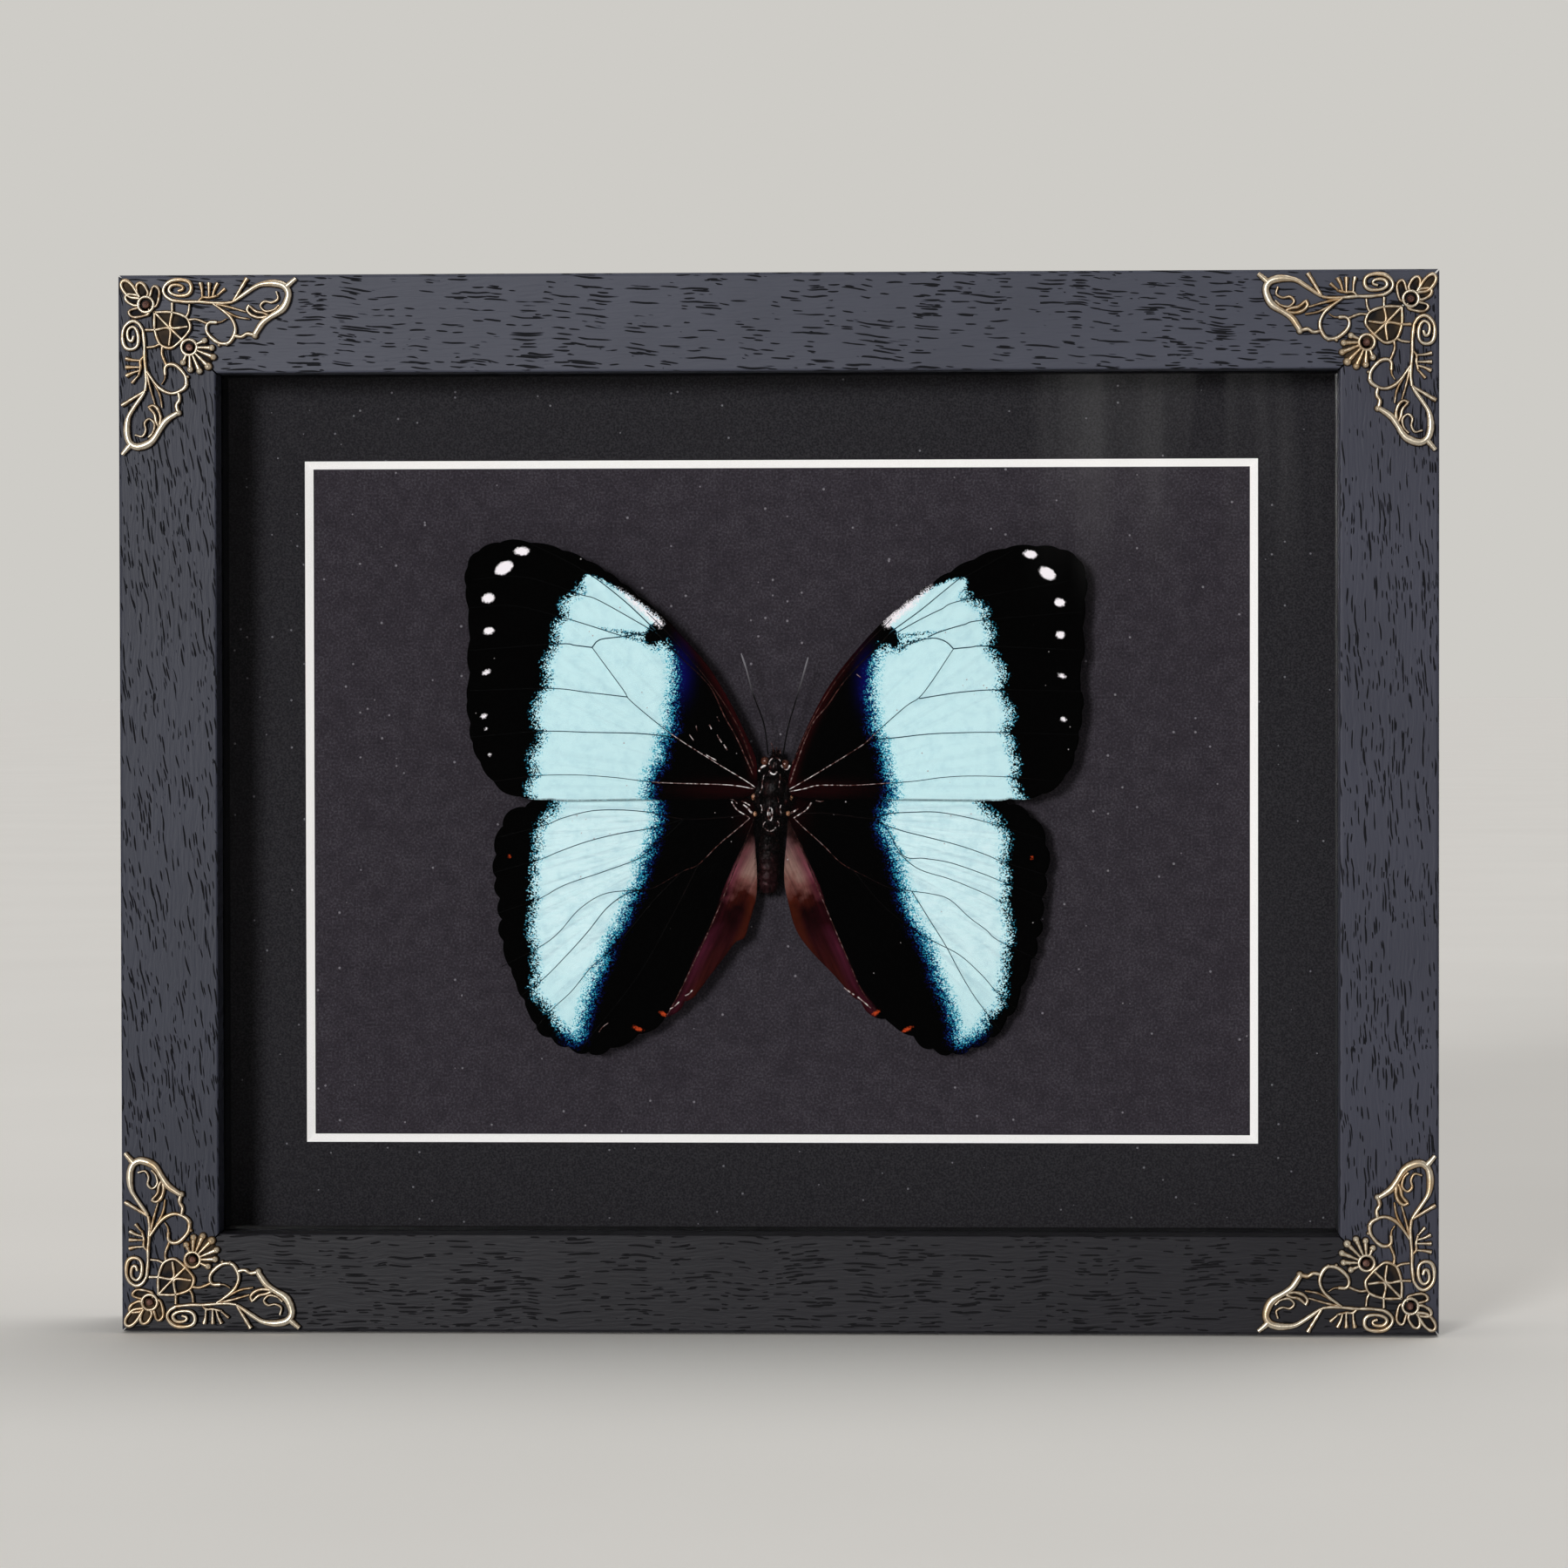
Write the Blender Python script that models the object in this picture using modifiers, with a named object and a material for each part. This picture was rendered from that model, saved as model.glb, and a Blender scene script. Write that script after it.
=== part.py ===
# A butterfly mounted under glass in a deep wooden frame with cast filigree corners.
# Metres, +Z up. The picture faces -Y, +X is to the right as seen from the front.
# The origin is on the surface that the frame stands on, below the middle of its depth.

import math
from collections import Counter
from itertools import chain

import bmesh
import bpy
from mathutils import Matrix, Vector
from mathutils.geometry import delaunay_2d_cdt

MM = 0.001
GAP = 0.3 * MM  # air that touching pieces keep

# Frame moulding
FRAME_WIDTH = 255 * MM
FRAME_HEIGHT = 205 * MM
FRAME_DEPTH = 30 * MM
RAIL_FACE = 19 * MM
LIP_WIDTH = 6 * MM  # the part of the face that overhangs the glass
LIP_DEPTH = 7 * MM
OUTER_EDGE_RADIUS = 0.6 * MM
INNER_EDGE_RADIUS = 0.35 * MM
STOCK_LENGTH = 1.1  # of the moulding before it is mitred, as a share of the rail's length
FRONT_Y = -FRAME_DEPTH / 2
WALL = RAIL_FACE - LIP_WIDTH  # rail wood beside the glass and what is behind it
CENTRE = Vector((0, 0, FRAME_HEIGHT / 2))

# Layers behind the lip, with their depths measured from the frame's face
GLASS_THICKNESS = 2 * MM
SPACER_DEPTH = 8.1 * MM
MAT_THICKNESS = 1.5 * MM
CARD_THICKNESS = 5 * MM
PANEL_THICKNESS = 2.5 * MM
POINT_THICKNESS = 0.6 * MM
GLASS_DEPTH = LIP_DEPTH + GAP
SPACER_START = GLASS_DEPTH + GLASS_THICKNESS + GAP
MAT_DEPTH = SPACER_START + SPACER_DEPTH + GAP
CARD_DEPTH = MAT_DEPTH + MAT_THICKNESS + GAP
PANEL_DEPTH = CARD_DEPTH + CARD_THICKNESS + GAP
POINT_DEPTH = PANEL_DEPTH + PANEL_THICKNESS + GAP
LAYER_WIDTH = FRAME_WIDTH - 2 * (WALL + GAP)
LAYER_HEIGHT = FRAME_HEIGHT - 2 * (WALL + GAP)
WINDOW_WIDTH = 187 * MM
WINDOW_HEIGHT = 134 * MM

# Steel points, pressed into a slot in the rail
POINT_WIDTH = 6 * MM
POINT_BURIED = 4.5 * MM
POINT_SHOWN = 9.5 * MM
POINT_CORNER = 0.8 * MM
POINT_TAPER = 0.8  # its width at the free end, as a share of its greatest width
POINT_SPACING = 0.5  # of the rail's length, between its two points

# Sawtooth hanger
HANGER_WIDTH = 45 * MM
HANGER_HEIGHT = 8 * MM
HANGER_THICKNESS = 0.8 * MM
HANGER_CORNER = 2 * MM
HANGER_TEETH = 11
TOOTH_HEIGHT = 1.6 * MM
TEETH_WIDTH = 27 * MM
NAIL_SPACING = 37 * MM
NAIL_RADIUS = 0.6 * MM
NAIL_HEAD_RADIUS = 1.6 * MM
NAIL_HEAD_THICKNESS = 0.6 * MM
NAIL_LENGTH = 9 * MM
HANGER_Z = FRAME_HEIGHT - 10 * MM

# Filigree corners, in millimetres from the frame's outer corner: along one rail, then along the other.
# A stroke is half its width, then the points along its middle.
# Every stroke has its mirror image on the other arm.
UNDERSIDE = GAP  # the casting's flat back, from the frame's face
CASTING_RISE = 1.1
WELD_DISTANCE = 0.02
FLOWER_CENTRE = (5.4, 5.4)
SHELL_CENTRE = (13.75, 13.75)
RING_RADIUS = 1.8
BOSS_RADIUS = 0.95
BOSS_RISE = 1.7
BOSS_FOOT = 0.1  # its flat foot, as a share of its rise
PETALS = (((0.9, 0.9), 0.95), ((4.3, 1.3), 0.95), ((7.6, 2.0), 0.85))
SHELL_TIPS = ((16.9, 12.4), (18.2, 13.9), (18.6, 15.8), (17.6, 17.6))
SHELL_LOBE = 0.62
STROKES = {
    "spiral": (
        0.34,
        (
            (15.2, 4.9), (10.4, 4.6), (8.8, 3.3), (9.2, 1.6),
            (11.4, 0.8), (13.6, 1.4), (13.8, 3.1), (11.6, 3.8),
        ),
    ),
    "spiral eye": (0.45, ((12.0, 3.8), (10.2, 3.0), (10.6, 2.0), (12.4, 2.2))),
    "stem": (0.34, ((14.4, 5.0), (19.0, 5.3), (22.6, 5.0), (25.2, 3.1))),
    "blade": (0.32, ((22.0, 5.3), (23.6, 2.8), (25.0, 0.6))),
    "drop": (
        0.56,
        (
            (24.6, 3.4), (27.4, 1.8), (30.2, 1.6), (32.4, 2.3), (32.8, 4.2),
            (31.7, 6.4), (29.3, 8.2), (26.6, 10.2), (26.2, 11.6),
        ),
    ),
    "tail": (0.42, ((31.8, 3.0), (34.4, 0.7))),
    "link": (0.36, ((27.0, 10.8), (25.0, 11.2), (22.2, 11.6))),
    "scroll": (
        0.42,
        (
            (19.0, 5.3), (21.2, 7.3), (22.6, 9.8), (22.1, 12.0),
            (20.4, 13.1), (18.4, 12.4), (17.2, 10.4), (19.2, 9.0),
        ),
    ),
    "shell tie": (0.45, ((20.8, 13.2), (17.4, 13.4))),
    "low blade": (0.3, ((19.6, 5.4), (24.8, 7.0))),
    "leaf": (0.42, ((25.3, 5.7), (25.5, 7.1), (29.6, 8.3))),
    "curl": (0.4, ((31.0, 3.1), (30.6, 4.9), (28.2, 5.6), (28.2, 7.2), (31.2, 6.6))),
    "fan foot": (0.32, ((15.6, 5.2), (16.3, 4.1), (19.2, 3.9))),
    "fan 1": (0.42, ((16.4, 4.2), (15.9, 1.2))),
    "fan 2": (0.38, ((17.5, 4.2), (17.7, 1.2))),
    "fan 3": (0.38, ((18.2, 4.1), (19.4, 1.4))),
    "fan 4": (0.38, ((18.8, 4.1), (20.8, 2.4))),
    "web rib": (0.28, ((10.6, 4.6), (10.4, 7.6))),
    "web prong": (0.28, ((13.8, 4.8), (13.0, 8.2))),
    "web arm": (0.32, ((13.2, 8.5), (17.6, 9.2))),
}
WEB_EDGE = ((6.3, 5.7), (10.2, 6.7), (13.0, 7.6), (14.1, 9.3), (13.8, 11.2), (13.0, 12.4))
KNOBS = (((26.4, 11.6), 0.85), ((20.9, 13.2), 0.62))

# The specimen, in millimetres from the middle of its thorax: across, then up
SPECIMEN = Vector((-1.3 * MM, 0, 104.6 * MM))
WING_THICKNESS = 0.5 * MM
FOREWING_DEPTH = 14.0  # from the frame's face, at the root
HINDWING_DEPTH = 15.4
FOREWING_ROOT = (4.2, 2.0)
HINDWING_ROOT = (4.6, -5.0)
FOREWING_LEFT = (
    (3.2, 0.2), (3.2, 5.0), (6.0, 12.8), (10.2, 20.8), (15.9, 28.5), (22.6, 35.4), (30.0, 41.4),
    (38.6, 46.6), (45.4, 48.7), (51.5, 49.2), (56.6, 48.0), (59.6, 45.4), (60.3, 41.0), (59.6, 36.0),
    (59.9, 31.2), (59.2, 26.8), (60.2, 21.6), (59.6, 16.6), (59.6, 11.8), (57.9, 6.2), (54.6, 1.4),
    (49.8, -1.0), (40.7, -1.6), (28.0, -1.7), (13.6, -1.7),
)
FOREWING_RIGHT = (
    (3.4, 0.2), (3.8, 5.1), (6.9, 12.8), (11.2, 20.7), (16.6, 27.7), (22.8, 34.2), (30.0, 40.0),
    (38.0, 44.9), (44.8, 47.5), (50.4, 48.1), (56.1, 47.5), (59.9, 45.4), (61.5, 41.4), (61.2, 36.4),
    (60.9, 31.0), (61.0, 26.4), (60.1, 22.5), (60.8, 17.4), (60.1, 11.6), (58.6, 5.1), (56.1, 1.4),
    (52.7, -0.9), (46.6, -1.8), (36.0, -1.8), (20.0, -1.6),
)
HINDWING_LEFT = (
    (3.8, -2.4), (9.0, 0.6), (18.0, 2.8), (30.0, 3.2), (39.0, 1.8), (45.0, -0.8), (50.0, -2.8),
    (53.6, -6.8), (55.0, -12.4), (54.8, -18.6), (54.0, -24.6), (53.8, -29.4), (51.8, -35.4),
    (49.8, -40.8), (47.0, -46.2), (42.4, -49.8), (36.6, -51.8), (30.4, -50.2), (23.4, -46.6),
    (17.6, -42.2), (12.4, -36.2), (8.2, -30.6), (5.6, -27.6), (3.8, -22.6), (3.2, -17.0), (3.5, -11.0),
)
HINDWING_RIGHT = (
    (3.8, -2.4), (9.0, 0.6), (18.0, 2.6), (30.0, 2.8), (39.0, 1.2), (44.6, -1.2), (49.0, -3.2),
    (52.2, -6.2), (54.1, -11.0), (53.9, -16.4), (53.0, -23.4), (52.3, -29.2), (50.6, -34.6),
    (48.6, -40.1), (45.2, -46.0), (40.6, -50.0), (34.4, -51.9), (29.6, -50.4), (23.4, -46.0),
    (17.2, -42.0), (12.2, -36.2), (7.6, -31.4), (4.6, -27.2), (3.0, -21.8), (2.2, -16.8), (2.6, -10.4),
)
RING_SHARES = (0.2, 0.6, 1.0)  # loft rings, as shares of the way from the root to the outline
WING_BOW = 1.1  # rise towards the glass, greatest halfway to the tip
WING_REACH = 62
WING_RIPPLE = 0.4
RIPPLE_LENGTH = 9
BODY_DEPTH = 15.6  # axis of the body, from the frame's face
HEAD = ((0.5, 0, 5.4), (2.0, 2.0, 1.9))
EYE = ((1.7, -0.1, 5.6), (1.05, 1.25, 1.2))
THORAX = ((0.2, 0, -0.6), (3.3, 3.7, 6.3))
WAIST = ((-0.5, 0.2, -7.6), (1.9, 2.1, 2.4))
ABDOMEN_DEPTH = 16.2
ABDOMEN_START = (-0.7, -8.0)
ABDOMEN_END = (-0.9, -20.2)
ABDOMEN_RADII = (1.5, 1.85, 1.7, 2.0, 1.8, 2.05, 1.8, 1.9, 1.65, 1.6, 1.3, 1.1)
PALP = ((0.45, 0.4, 7.8), (0.55, 0.8, 1.5))
ANTENNA_LEFT = ((-0.9, 7.4), (-1.7, 13.2), (-3.7, 18.8), (-5.1, 24.0), (-6.1, 27.0))
ANTENNA_RIGHT = ((2.0, 7.4), (3.1, 12.8), (4.9, 18.8), (6.3, 23.6), (7.0, 26.2))
ANTENNA_DEPTHS = (15.0, 14.4, 14.0, 13.8, 13.8)
ANTENNA_RADIUS = 0.2
CLUB_SWELL = (1.0, 0.8, 0.8, 1.1, 1.9)

# Colours as they are in daylight, roughness and metallic
FINISHES = {
    "painted_ash": ((0.055, 0.058, 0.075), 0.62, 0.0),
    "antique_bronze": ((0.42, 0.30, 0.17), 0.42, 1.0),
    "picture_glass": ((0.9, 0.95, 0.94), 0.03, 0.0),
    "black_strip": ((0.02, 0.02, 0.022), 0.8, 0.0),
    "black_mat_board": ((0.024, 0.023, 0.026), 0.9, 0.0),
    "charcoal_card": ((0.03, 0.028, 0.032), 0.9, 0.0),
    "brown_hardboard": ((0.17, 0.10, 0.055), 0.75, 0.0),
    "plated_steel": ((0.55, 0.55, 0.56), 0.35, 1.0),
    "wing_membrane": ((0.30, 0.52, 0.60), 0.6, 0.0),
    "dark_chitin": ((0.012, 0.010, 0.010), 0.5, 0.0),
}


def empty_scene():
    for obj in list(bpy.data.objects):
        bpy.data.objects.remove(obj)


def new_collection(name, is_rendered=True):
    collection = bpy.data.collections.new(name)
    collection.hide_render = not is_rendered
    bpy.context.scene.collection.children.link(collection)
    return collection


def new_material(name):
    colour, roughness, metallic = FINISHES[name]
    material = bpy.data.materials.new(name)
    material.use_nodes = True
    shader = material.node_tree.nodes["Principled BSDF"]
    shader.inputs["Base Color"].default_value = (*colour, 1)
    shader.inputs["Roughness"].default_value = roughness
    shader.inputs["Metallic"].default_value = metallic
    if name == "picture_glass":
        shader.inputs["Transmission Weight"].default_value = 1
    return material


def add_mesh(name, mesh, finish, collection=None):
    """A named object in the specimen's collection, in one finish."""
    mesh.name = name
    obj = bpy.data.objects.new(name, mesh)
    (collection or piece_collection).objects.link(obj)
    if not mesh.materials:
        mesh.materials.append(materials[finish])
    return obj


def add_cutter(name, mesh):
    obj = add_mesh(name, mesh, "black_strip", cutter_collection)
    obj.hide_render = True
    obj.display_type = "WIRE"
    return obj


def mesh_from(bm):
    bmesh.ops.recalc_face_normals(bm, faces=bm.faces)
    mesh = bpy.data.meshes.new("mesh")
    bm.to_mesh(mesh)
    bm.free()
    return mesh


def curve_to_mesh(curve, matrix):
    """The curve's evaluated mesh, with its loose caps welded on and its points turned by the matrix."""
    guide = bpy.data.objects.new("guide", curve)
    bpy.context.scene.collection.objects.link(guide)
    bpy.context.view_layer.update()
    evaluated = guide.evaluated_get(bpy.context.evaluated_depsgraph_get())
    mesh = bpy.data.meshes.new_from_object(evaluated)
    bpy.data.objects.remove(guide)
    bm = bmesh.new()
    bm.from_mesh(mesh)
    bmesh.ops.remove_doubles(bm, verts=bm.verts, dist=0.001 * MM)
    bm.transform(matrix)
    bpy.data.meshes.remove(mesh)
    bpy.data.curves.remove(curve)
    return bm


def flat_curve(outlines, thickness):
    """Closed outlines in the curve's own XY plane, filled and given a thickness along its Z."""
    curve = bpy.data.curves.new("outline", "CURVE")
    curve.dimensions = "2D"
    curve.fill_mode = "BOTH"
    curve.extrude = thickness / 2
    for outline in outlines:
        spline = curve.splines.new("POLY")
        spline.points.add(len(outline) - 1)
        spline.use_cyclic_u = True
        for point, (x, y) in zip(spline.points, outline):
            point.co = (x, y, 0, 1)
    return curve


# Turns a shape drawn flat in XY, rising along Z, to stand in the picture plane and rise towards the front
STAND_UP = Matrix.Rotation(math.radians(90), 4, "X")
# Turns a cross-section drawn as depth and height, extruded along Z, to run along X
RUN_ALONG_X = Matrix(((0, 0, 1, 0), (1, 0, 0, 0), (0, 1, 0, 0), (0, 0, 0, 1)))


def box_mesh(size, centre=(0, 0, 0), edge_radius=0.0):
    bm = bmesh.new()
    bmesh.ops.create_cube(bm, size=1)
    bmesh.ops.scale(bm, vec=size, verts=bm.verts)
    if edge_radius:
        bmesh.ops.bevel(bm, geom=bm.edges, offset=edge_radius, segments=1, affect="EDGES")
    bmesh.ops.translate(bm, vec=centre, verts=bm.verts)
    return mesh_from(bm)


def subtract(obj, cutter):
    modifier = obj.modifiers.new("cut " + cutter.name, "BOOLEAN")
    modifier.operation = "DIFFERENCE"
    modifier.object = cutter


def unite(obj, other):
    modifier = obj.modifiers.new("join " + other.name, "BOOLEAN")
    modifier.operation = "UNION"
    modifier.object = other


def arc(centre_x, centre_y, radius, start_deg, end_deg, steps=3):
    for step in range(steps + 1):
        angle = math.radians(start_deg + (end_deg - start_deg) * step / steps)
        yield (centre_x + radius * math.cos(angle), centre_y + radius * math.sin(angle))


# Each side of the frame: its name, its turn from the bottom about the frame's centre, its length and
# how far its outer edge is from the centre
SIDES = (
    ("bottom", 0, FRAME_WIDTH, FRAME_HEIGHT / 2),
    ("left", 90, FRAME_HEIGHT, FRAME_WIDTH / 2),
    ("top", 180, FRAME_WIDTH, FRAME_HEIGHT / 2),
    ("right", -90, FRAME_HEIGHT, FRAME_WIDTH / 2),
)


def rail_section():
    """Depth and distance from the outer edge: a block with a rebate behind its front lip."""
    outer = arc(FRONT_Y + OUTER_EDGE_RADIUS, OUTER_EDGE_RADIUS, OUTER_EDGE_RADIUS, 270, 180)
    inner = arc(FRONT_Y + INNER_EDGE_RADIUS, RAIL_FACE - INNER_EDGE_RADIUS, INNER_EDGE_RADIUS, 180, 90)
    back_y = FRONT_Y + FRAME_DEPTH
    lip_y = FRONT_Y + LIP_DEPTH
    return [*outer, *inner, (lip_y, RAIL_FACE), (lip_y, WALL), (back_y, WALL), (back_y, 0)]


def rail_mesh(length, reach):
    """A rail along X below the centre, mitred at both ends with half the gap on each side of the joint."""
    section = [(y, distance - reach) for y, distance in rail_section()]
    bm = curve_to_mesh(flat_curve([section], length * STOCK_LENGTH), RUN_ALONG_X)
    for side in (-1, 1):
        normal = Vector((side, 0, 1)).normalized()
        corner = Vector((side * length / 2, 0, -reach)) - normal * GAP / 2
        whole = bm.verts[:] + bm.edges[:] + bm.faces[:]
        cut = bmesh.ops.bisect_plane(bm, geom=whole, plane_co=corner, plane_no=normal, clear_outer=True)
        ends = [item for item in cut["geom_cut"] if isinstance(item, bmesh.types.BMEdge)]
        bmesh.ops.contextual_create(bm, geom=ends)
    return mesh_from(bm)


def at_side(obj, turn, reach, along=0.0):
    """Puts an object drawn about the middle of the bottom rail's outer edge at a side of the frame."""
    turned = Matrix.Rotation(math.radians(turn), 4, "Y")
    obj.matrix_world = Matrix.Translation(CENTRE) @ turned @ Matrix.Translation((along, 0, -reach))


def point_places(length):
    """The numbers of a side's two points and their places along it from its middle."""
    return enumerate((-length * POINT_SPACING / 2, length * POINT_SPACING / 2), 1)


def make_frame_rails():
    slot_size = (POINT_WIDTH + 2 * GAP, POINT_THICKNESS + 2 * GAP, POINT_BURIED + 2 * GAP)
    slot_centre = (0, FRONT_Y + POINT_DEPTH + POINT_THICKNESS / 2, WALL - POINT_BURIED / 2)
    slot = box_mesh(slot_size, slot_centre)
    for name, turn, length, reach in SIDES:
        rail = add_mesh("rail_" + name, rail_mesh(length, reach), "painted_ash")
        at_side(rail, turn, 0)
        for index, along in point_places(length):
            cutter = add_cutter(f"slot_{name}_{index}", slot.copy())
            at_side(cutter, turn, reach, along)
            subtract(rail, cutter)
    return bpy.data.objects["rail_top"]


def make_steel_points():
    """Arrow-nosed points: the nose is in the rail and the wide end lies on the closing panel."""
    half = POINT_WIDTH / 2
    waist, tip = half * POINT_TAPER, half * POINT_TAPER - POINT_CORNER
    nose, root, end = WALL - POINT_BURIED, WALL - POINT_BURIED / 3, WALL + POINT_SHOWN
    outline = [(0, nose), (half, root), (waist, end - POINT_CORNER), (tip, end)]
    outline += [(-tip, end), (-waist, end - POINT_CORNER), (-half, root)]
    mesh = mesh_from(curve_to_mesh(flat_curve([outline], POINT_THICKNESS), STAND_UP))
    mesh.transform(Matrix.Translation((0, FRONT_Y + POINT_DEPTH + POINT_THICKNESS / 2, 0)))
    for name, turn, length, reach in SIDES:
        for index, along in point_places(length):
            at_side(add_mesh(f"point_{name}_{index}", mesh, "plated_steel"), turn, reach, along)


def make_layer(name, finish, depth, thickness, edge_radius=0.0):
    """A sheet that fills the rebate, at its depth behind the frame's face."""
    size = (LAYER_WIDTH, thickness, LAYER_HEIGHT)
    sheet = add_mesh(name, box_mesh(size, edge_radius=edge_radius), finish)
    sheet.location = CENTRE + Vector((0, FRONT_Y + depth + thickness / 2, 0))
    return sheet


def make_spacers():
    """Two full strips, top and bottom, and two that stand between them, flush with the rails' lips."""
    strip = LIP_WIDTH - GAP
    middle_y = FRONT_Y + SPACER_START + SPACER_DEPTH / 2
    for name, turn, _, reach in SIDES:
        is_upright = name in ("left", "right")
        length = FRAME_HEIGHT - 2 * (RAIL_FACE + GAP) if is_upright else LAYER_WIDTH
        mesh = box_mesh((length, SPACER_DEPTH, strip), (0, middle_y, WALL + GAP + strip / 2))
        at_side(add_mesh("spacer_" + name, mesh, "black_strip"), turn, reach)


def make_window_mat():
    """The window's edges slant at 45 degrees, so that it is narrower at the card than at the face."""
    mat = make_layer("window_mat", "black_mat_board", MAT_DEPTH, MAT_THICKNESS)
    bm = bmesh.new()
    bmesh.ops.create_cube(bm, size=1)
    for vert in bm.verts:
        front = vert.co.y < 0
        half_width = WINDOW_WIDTH / 2 + (MAT_THICKNESS if front else -2 * MAT_THICKNESS)
        half_height = WINDOW_HEIGHT / 2 + (MAT_THICKNESS if front else -2 * MAT_THICKNESS)
        vert.co.x = math.copysign(half_width, vert.co.x)
        vert.co.z = math.copysign(half_height, vert.co.z)
        vert.co.y = -MAT_THICKNESS if front else 2 * MAT_THICKNESS
    window = add_cutter("window", mesh_from(bm))
    window.location = CENTRE + Vector((0, FRONT_Y + MAT_DEPTH, 0))
    subtract(mat, window)


def circle(centre, radius, steps):
    for step in range(steps):
        angle = 2 * math.pi * step / steps
        yield (centre[0] + radius * math.cos(angle), centre[1] + radius * math.sin(angle))


def hanger_outline():
    half_width, half_height = HANGER_WIDTH / 2, HANGER_HEIGHT / 2
    inner_width, inner_height = half_width - HANGER_CORNER, half_height - HANGER_CORNER
    top = [(half_width, inner_height), (inner_width, half_height)]
    top += [(-inner_width, half_height), (-half_width, inner_height)]
    bottom = [(-half_width, -inner_height), (-inner_width, -half_height)]
    pitch = TEETH_WIDTH / HANGER_TEETH
    for tooth in range(HANGER_TEETH):
        left = -TEETH_WIDTH / 2 + tooth * pitch
        bottom += [(left, -half_height), (left + pitch / 2, TOOTH_HEIGHT - half_height)]
    bottom += [(TEETH_WIDTH / 2, -half_height), (inner_width, -half_height), (half_width, -inner_height)]
    return top + bottom


def nail_mesh():
    """Turned about Z with its head up: the profile runs down the outer side."""
    tip = -NAIL_LENGTH
    profile = [(0, NAIL_HEAD_THICKNESS), (NAIL_HEAD_RADIUS * 0.8, NAIL_HEAD_THICKNESS)]
    profile += [(NAIL_HEAD_RADIUS, NAIL_HEAD_THICKNESS / 2), (NAIL_HEAD_RADIUS, 0), (NAIL_RADIUS, 0)]
    profile += [(NAIL_RADIUS, tip + 2 * NAIL_RADIUS), (0, tip)]
    bm = bmesh.new()
    line = [bm.verts.new((radius, 0, height)) for radius, height in profile]
    for first, second in zip(line, line[1:]):
        bm.edges.new((first, second))
    mesh = bpy.data.meshes.new("nail")
    bm.to_mesh(mesh)
    bm.free()
    return mesh


def nail_hole_mesh():
    radius = NAIL_RADIUS + GAP
    bm = bmesh.new()
    bmesh.ops.create_circle(bm, cap_ends=True, segments=12, radius=radius)
    bmesh.ops.translate(bm, verts=bm.verts, vec=(0, 0, NAIL_LENGTH))
    pushed = bmesh.ops.extrude_face_region(bm, geom=bm.faces[:])["geom"]
    moved = [item for item in pushed if isinstance(item, bmesh.types.BMVert)]
    bmesh.ops.translate(bm, verts=moved, vec=(0, 0, -2 * NAIL_LENGTH))
    bm.transform(STAND_UP)
    return mesh_from(bm)


def make_hanger(top_rail):
    plate_y = FRAME_DEPTH / 2 + GAP + HANGER_THICKNESS / 2
    head_y = FRAME_DEPTH / 2 + 2 * GAP + HANGER_THICKNESS
    holes = [list(circle((side * NAIL_SPACING / 2, 0), NAIL_RADIUS + GAP, 12)) for side in (-1, 1)]
    bm = curve_to_mesh(flat_curve([hanger_outline(), *holes], HANGER_THICKNESS), STAND_UP)
    plate = add_mesh("hanger_plate", mesh_from(bm), "plated_steel")
    plate.location = (0, plate_y, HANGER_Z)
    nail_shape = nail_mesh()
    for name, side in (("right", 1), ("left", -1)):
        nail = add_mesh("hanger_nail_" + name, nail_shape, "plated_steel")
        nail.location = (side * NAIL_SPACING / 2, head_y, HANGER_Z)
        nail.rotation_euler = (math.radians(-90), 0, 0)
        turning = nail.modifiers.new("turning", "SCREW")
        turning.steps = 12
        turning.render_steps = 12
        turning.use_merge_vertices = True
        turning.merge_threshold = 0.00001
        hole = add_cutter("nail_hole_" + name, nail_hole_mesh())
        hole.location = (side * NAIL_SPACING / 2, FRAME_DEPTH / 2, HANGER_Z)
        subtract(top_rail, hole)


def ribbon(points, half_width):
    """The outline of a band of even width along points, square at both ends."""
    points = [Vector(point) for point in points]
    left, right = [], []
    for place, point in enumerate(points):
        before = (point - points[place - 1]).normalized() if place else None
        after = (points[place + 1] - point).normalized() if place < len(points) - 1 else None
        heading = ((before or after) + (after or before)).normalized()
        across = Vector((-heading.y, heading.x)) * half_width / heading.dot(before or after)
        left.append(point + across)
        right.append(point - across)
    return [tuple(point) for point in left + right[::-1]]


def petal(tip, half_width):
    """A leaf shape from the flower's centre to its tip."""
    base = Vector(FLOWER_CENTRE)
    reach = Vector(tip) - base
    across = Vector((-reach.y, reach.x)).normalized() * half_width
    shares = ((0.2, -0.4), (0.6, -1), (0.88, -0.7), (1.0, 0), (0.88, 0.7), (0.6, 1), (0.2, 0.4))
    return [tuple(base + reach * along + across * side) for along, side in shares]


def shell_rib(tip):
    """A rib from the shell's ring to a round end."""
    root = Vector(SHELL_CENTRE)
    heading = (Vector(tip) - root).normalized()
    across = Vector((-heading.y, heading.x)) * SHELL_LOBE
    centre = Vector(tip)
    rim = (centre + across, centre + heading * SHELL_LOBE * 0.7 + across * 0.6)
    far_rim = (centre + heading * SHELL_LOBE * 0.7 - across * 0.6, centre - across)
    return [tuple(point) for point in (root + across * 0.5, *rim, *far_rim, root - across * 0.5)]


def with_mirror(outline):
    """An outline and its mirror image about the corner's diagonal."""
    outline = list(outline)
    return [outline, [(down, along) for along, down in outline]]


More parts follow.
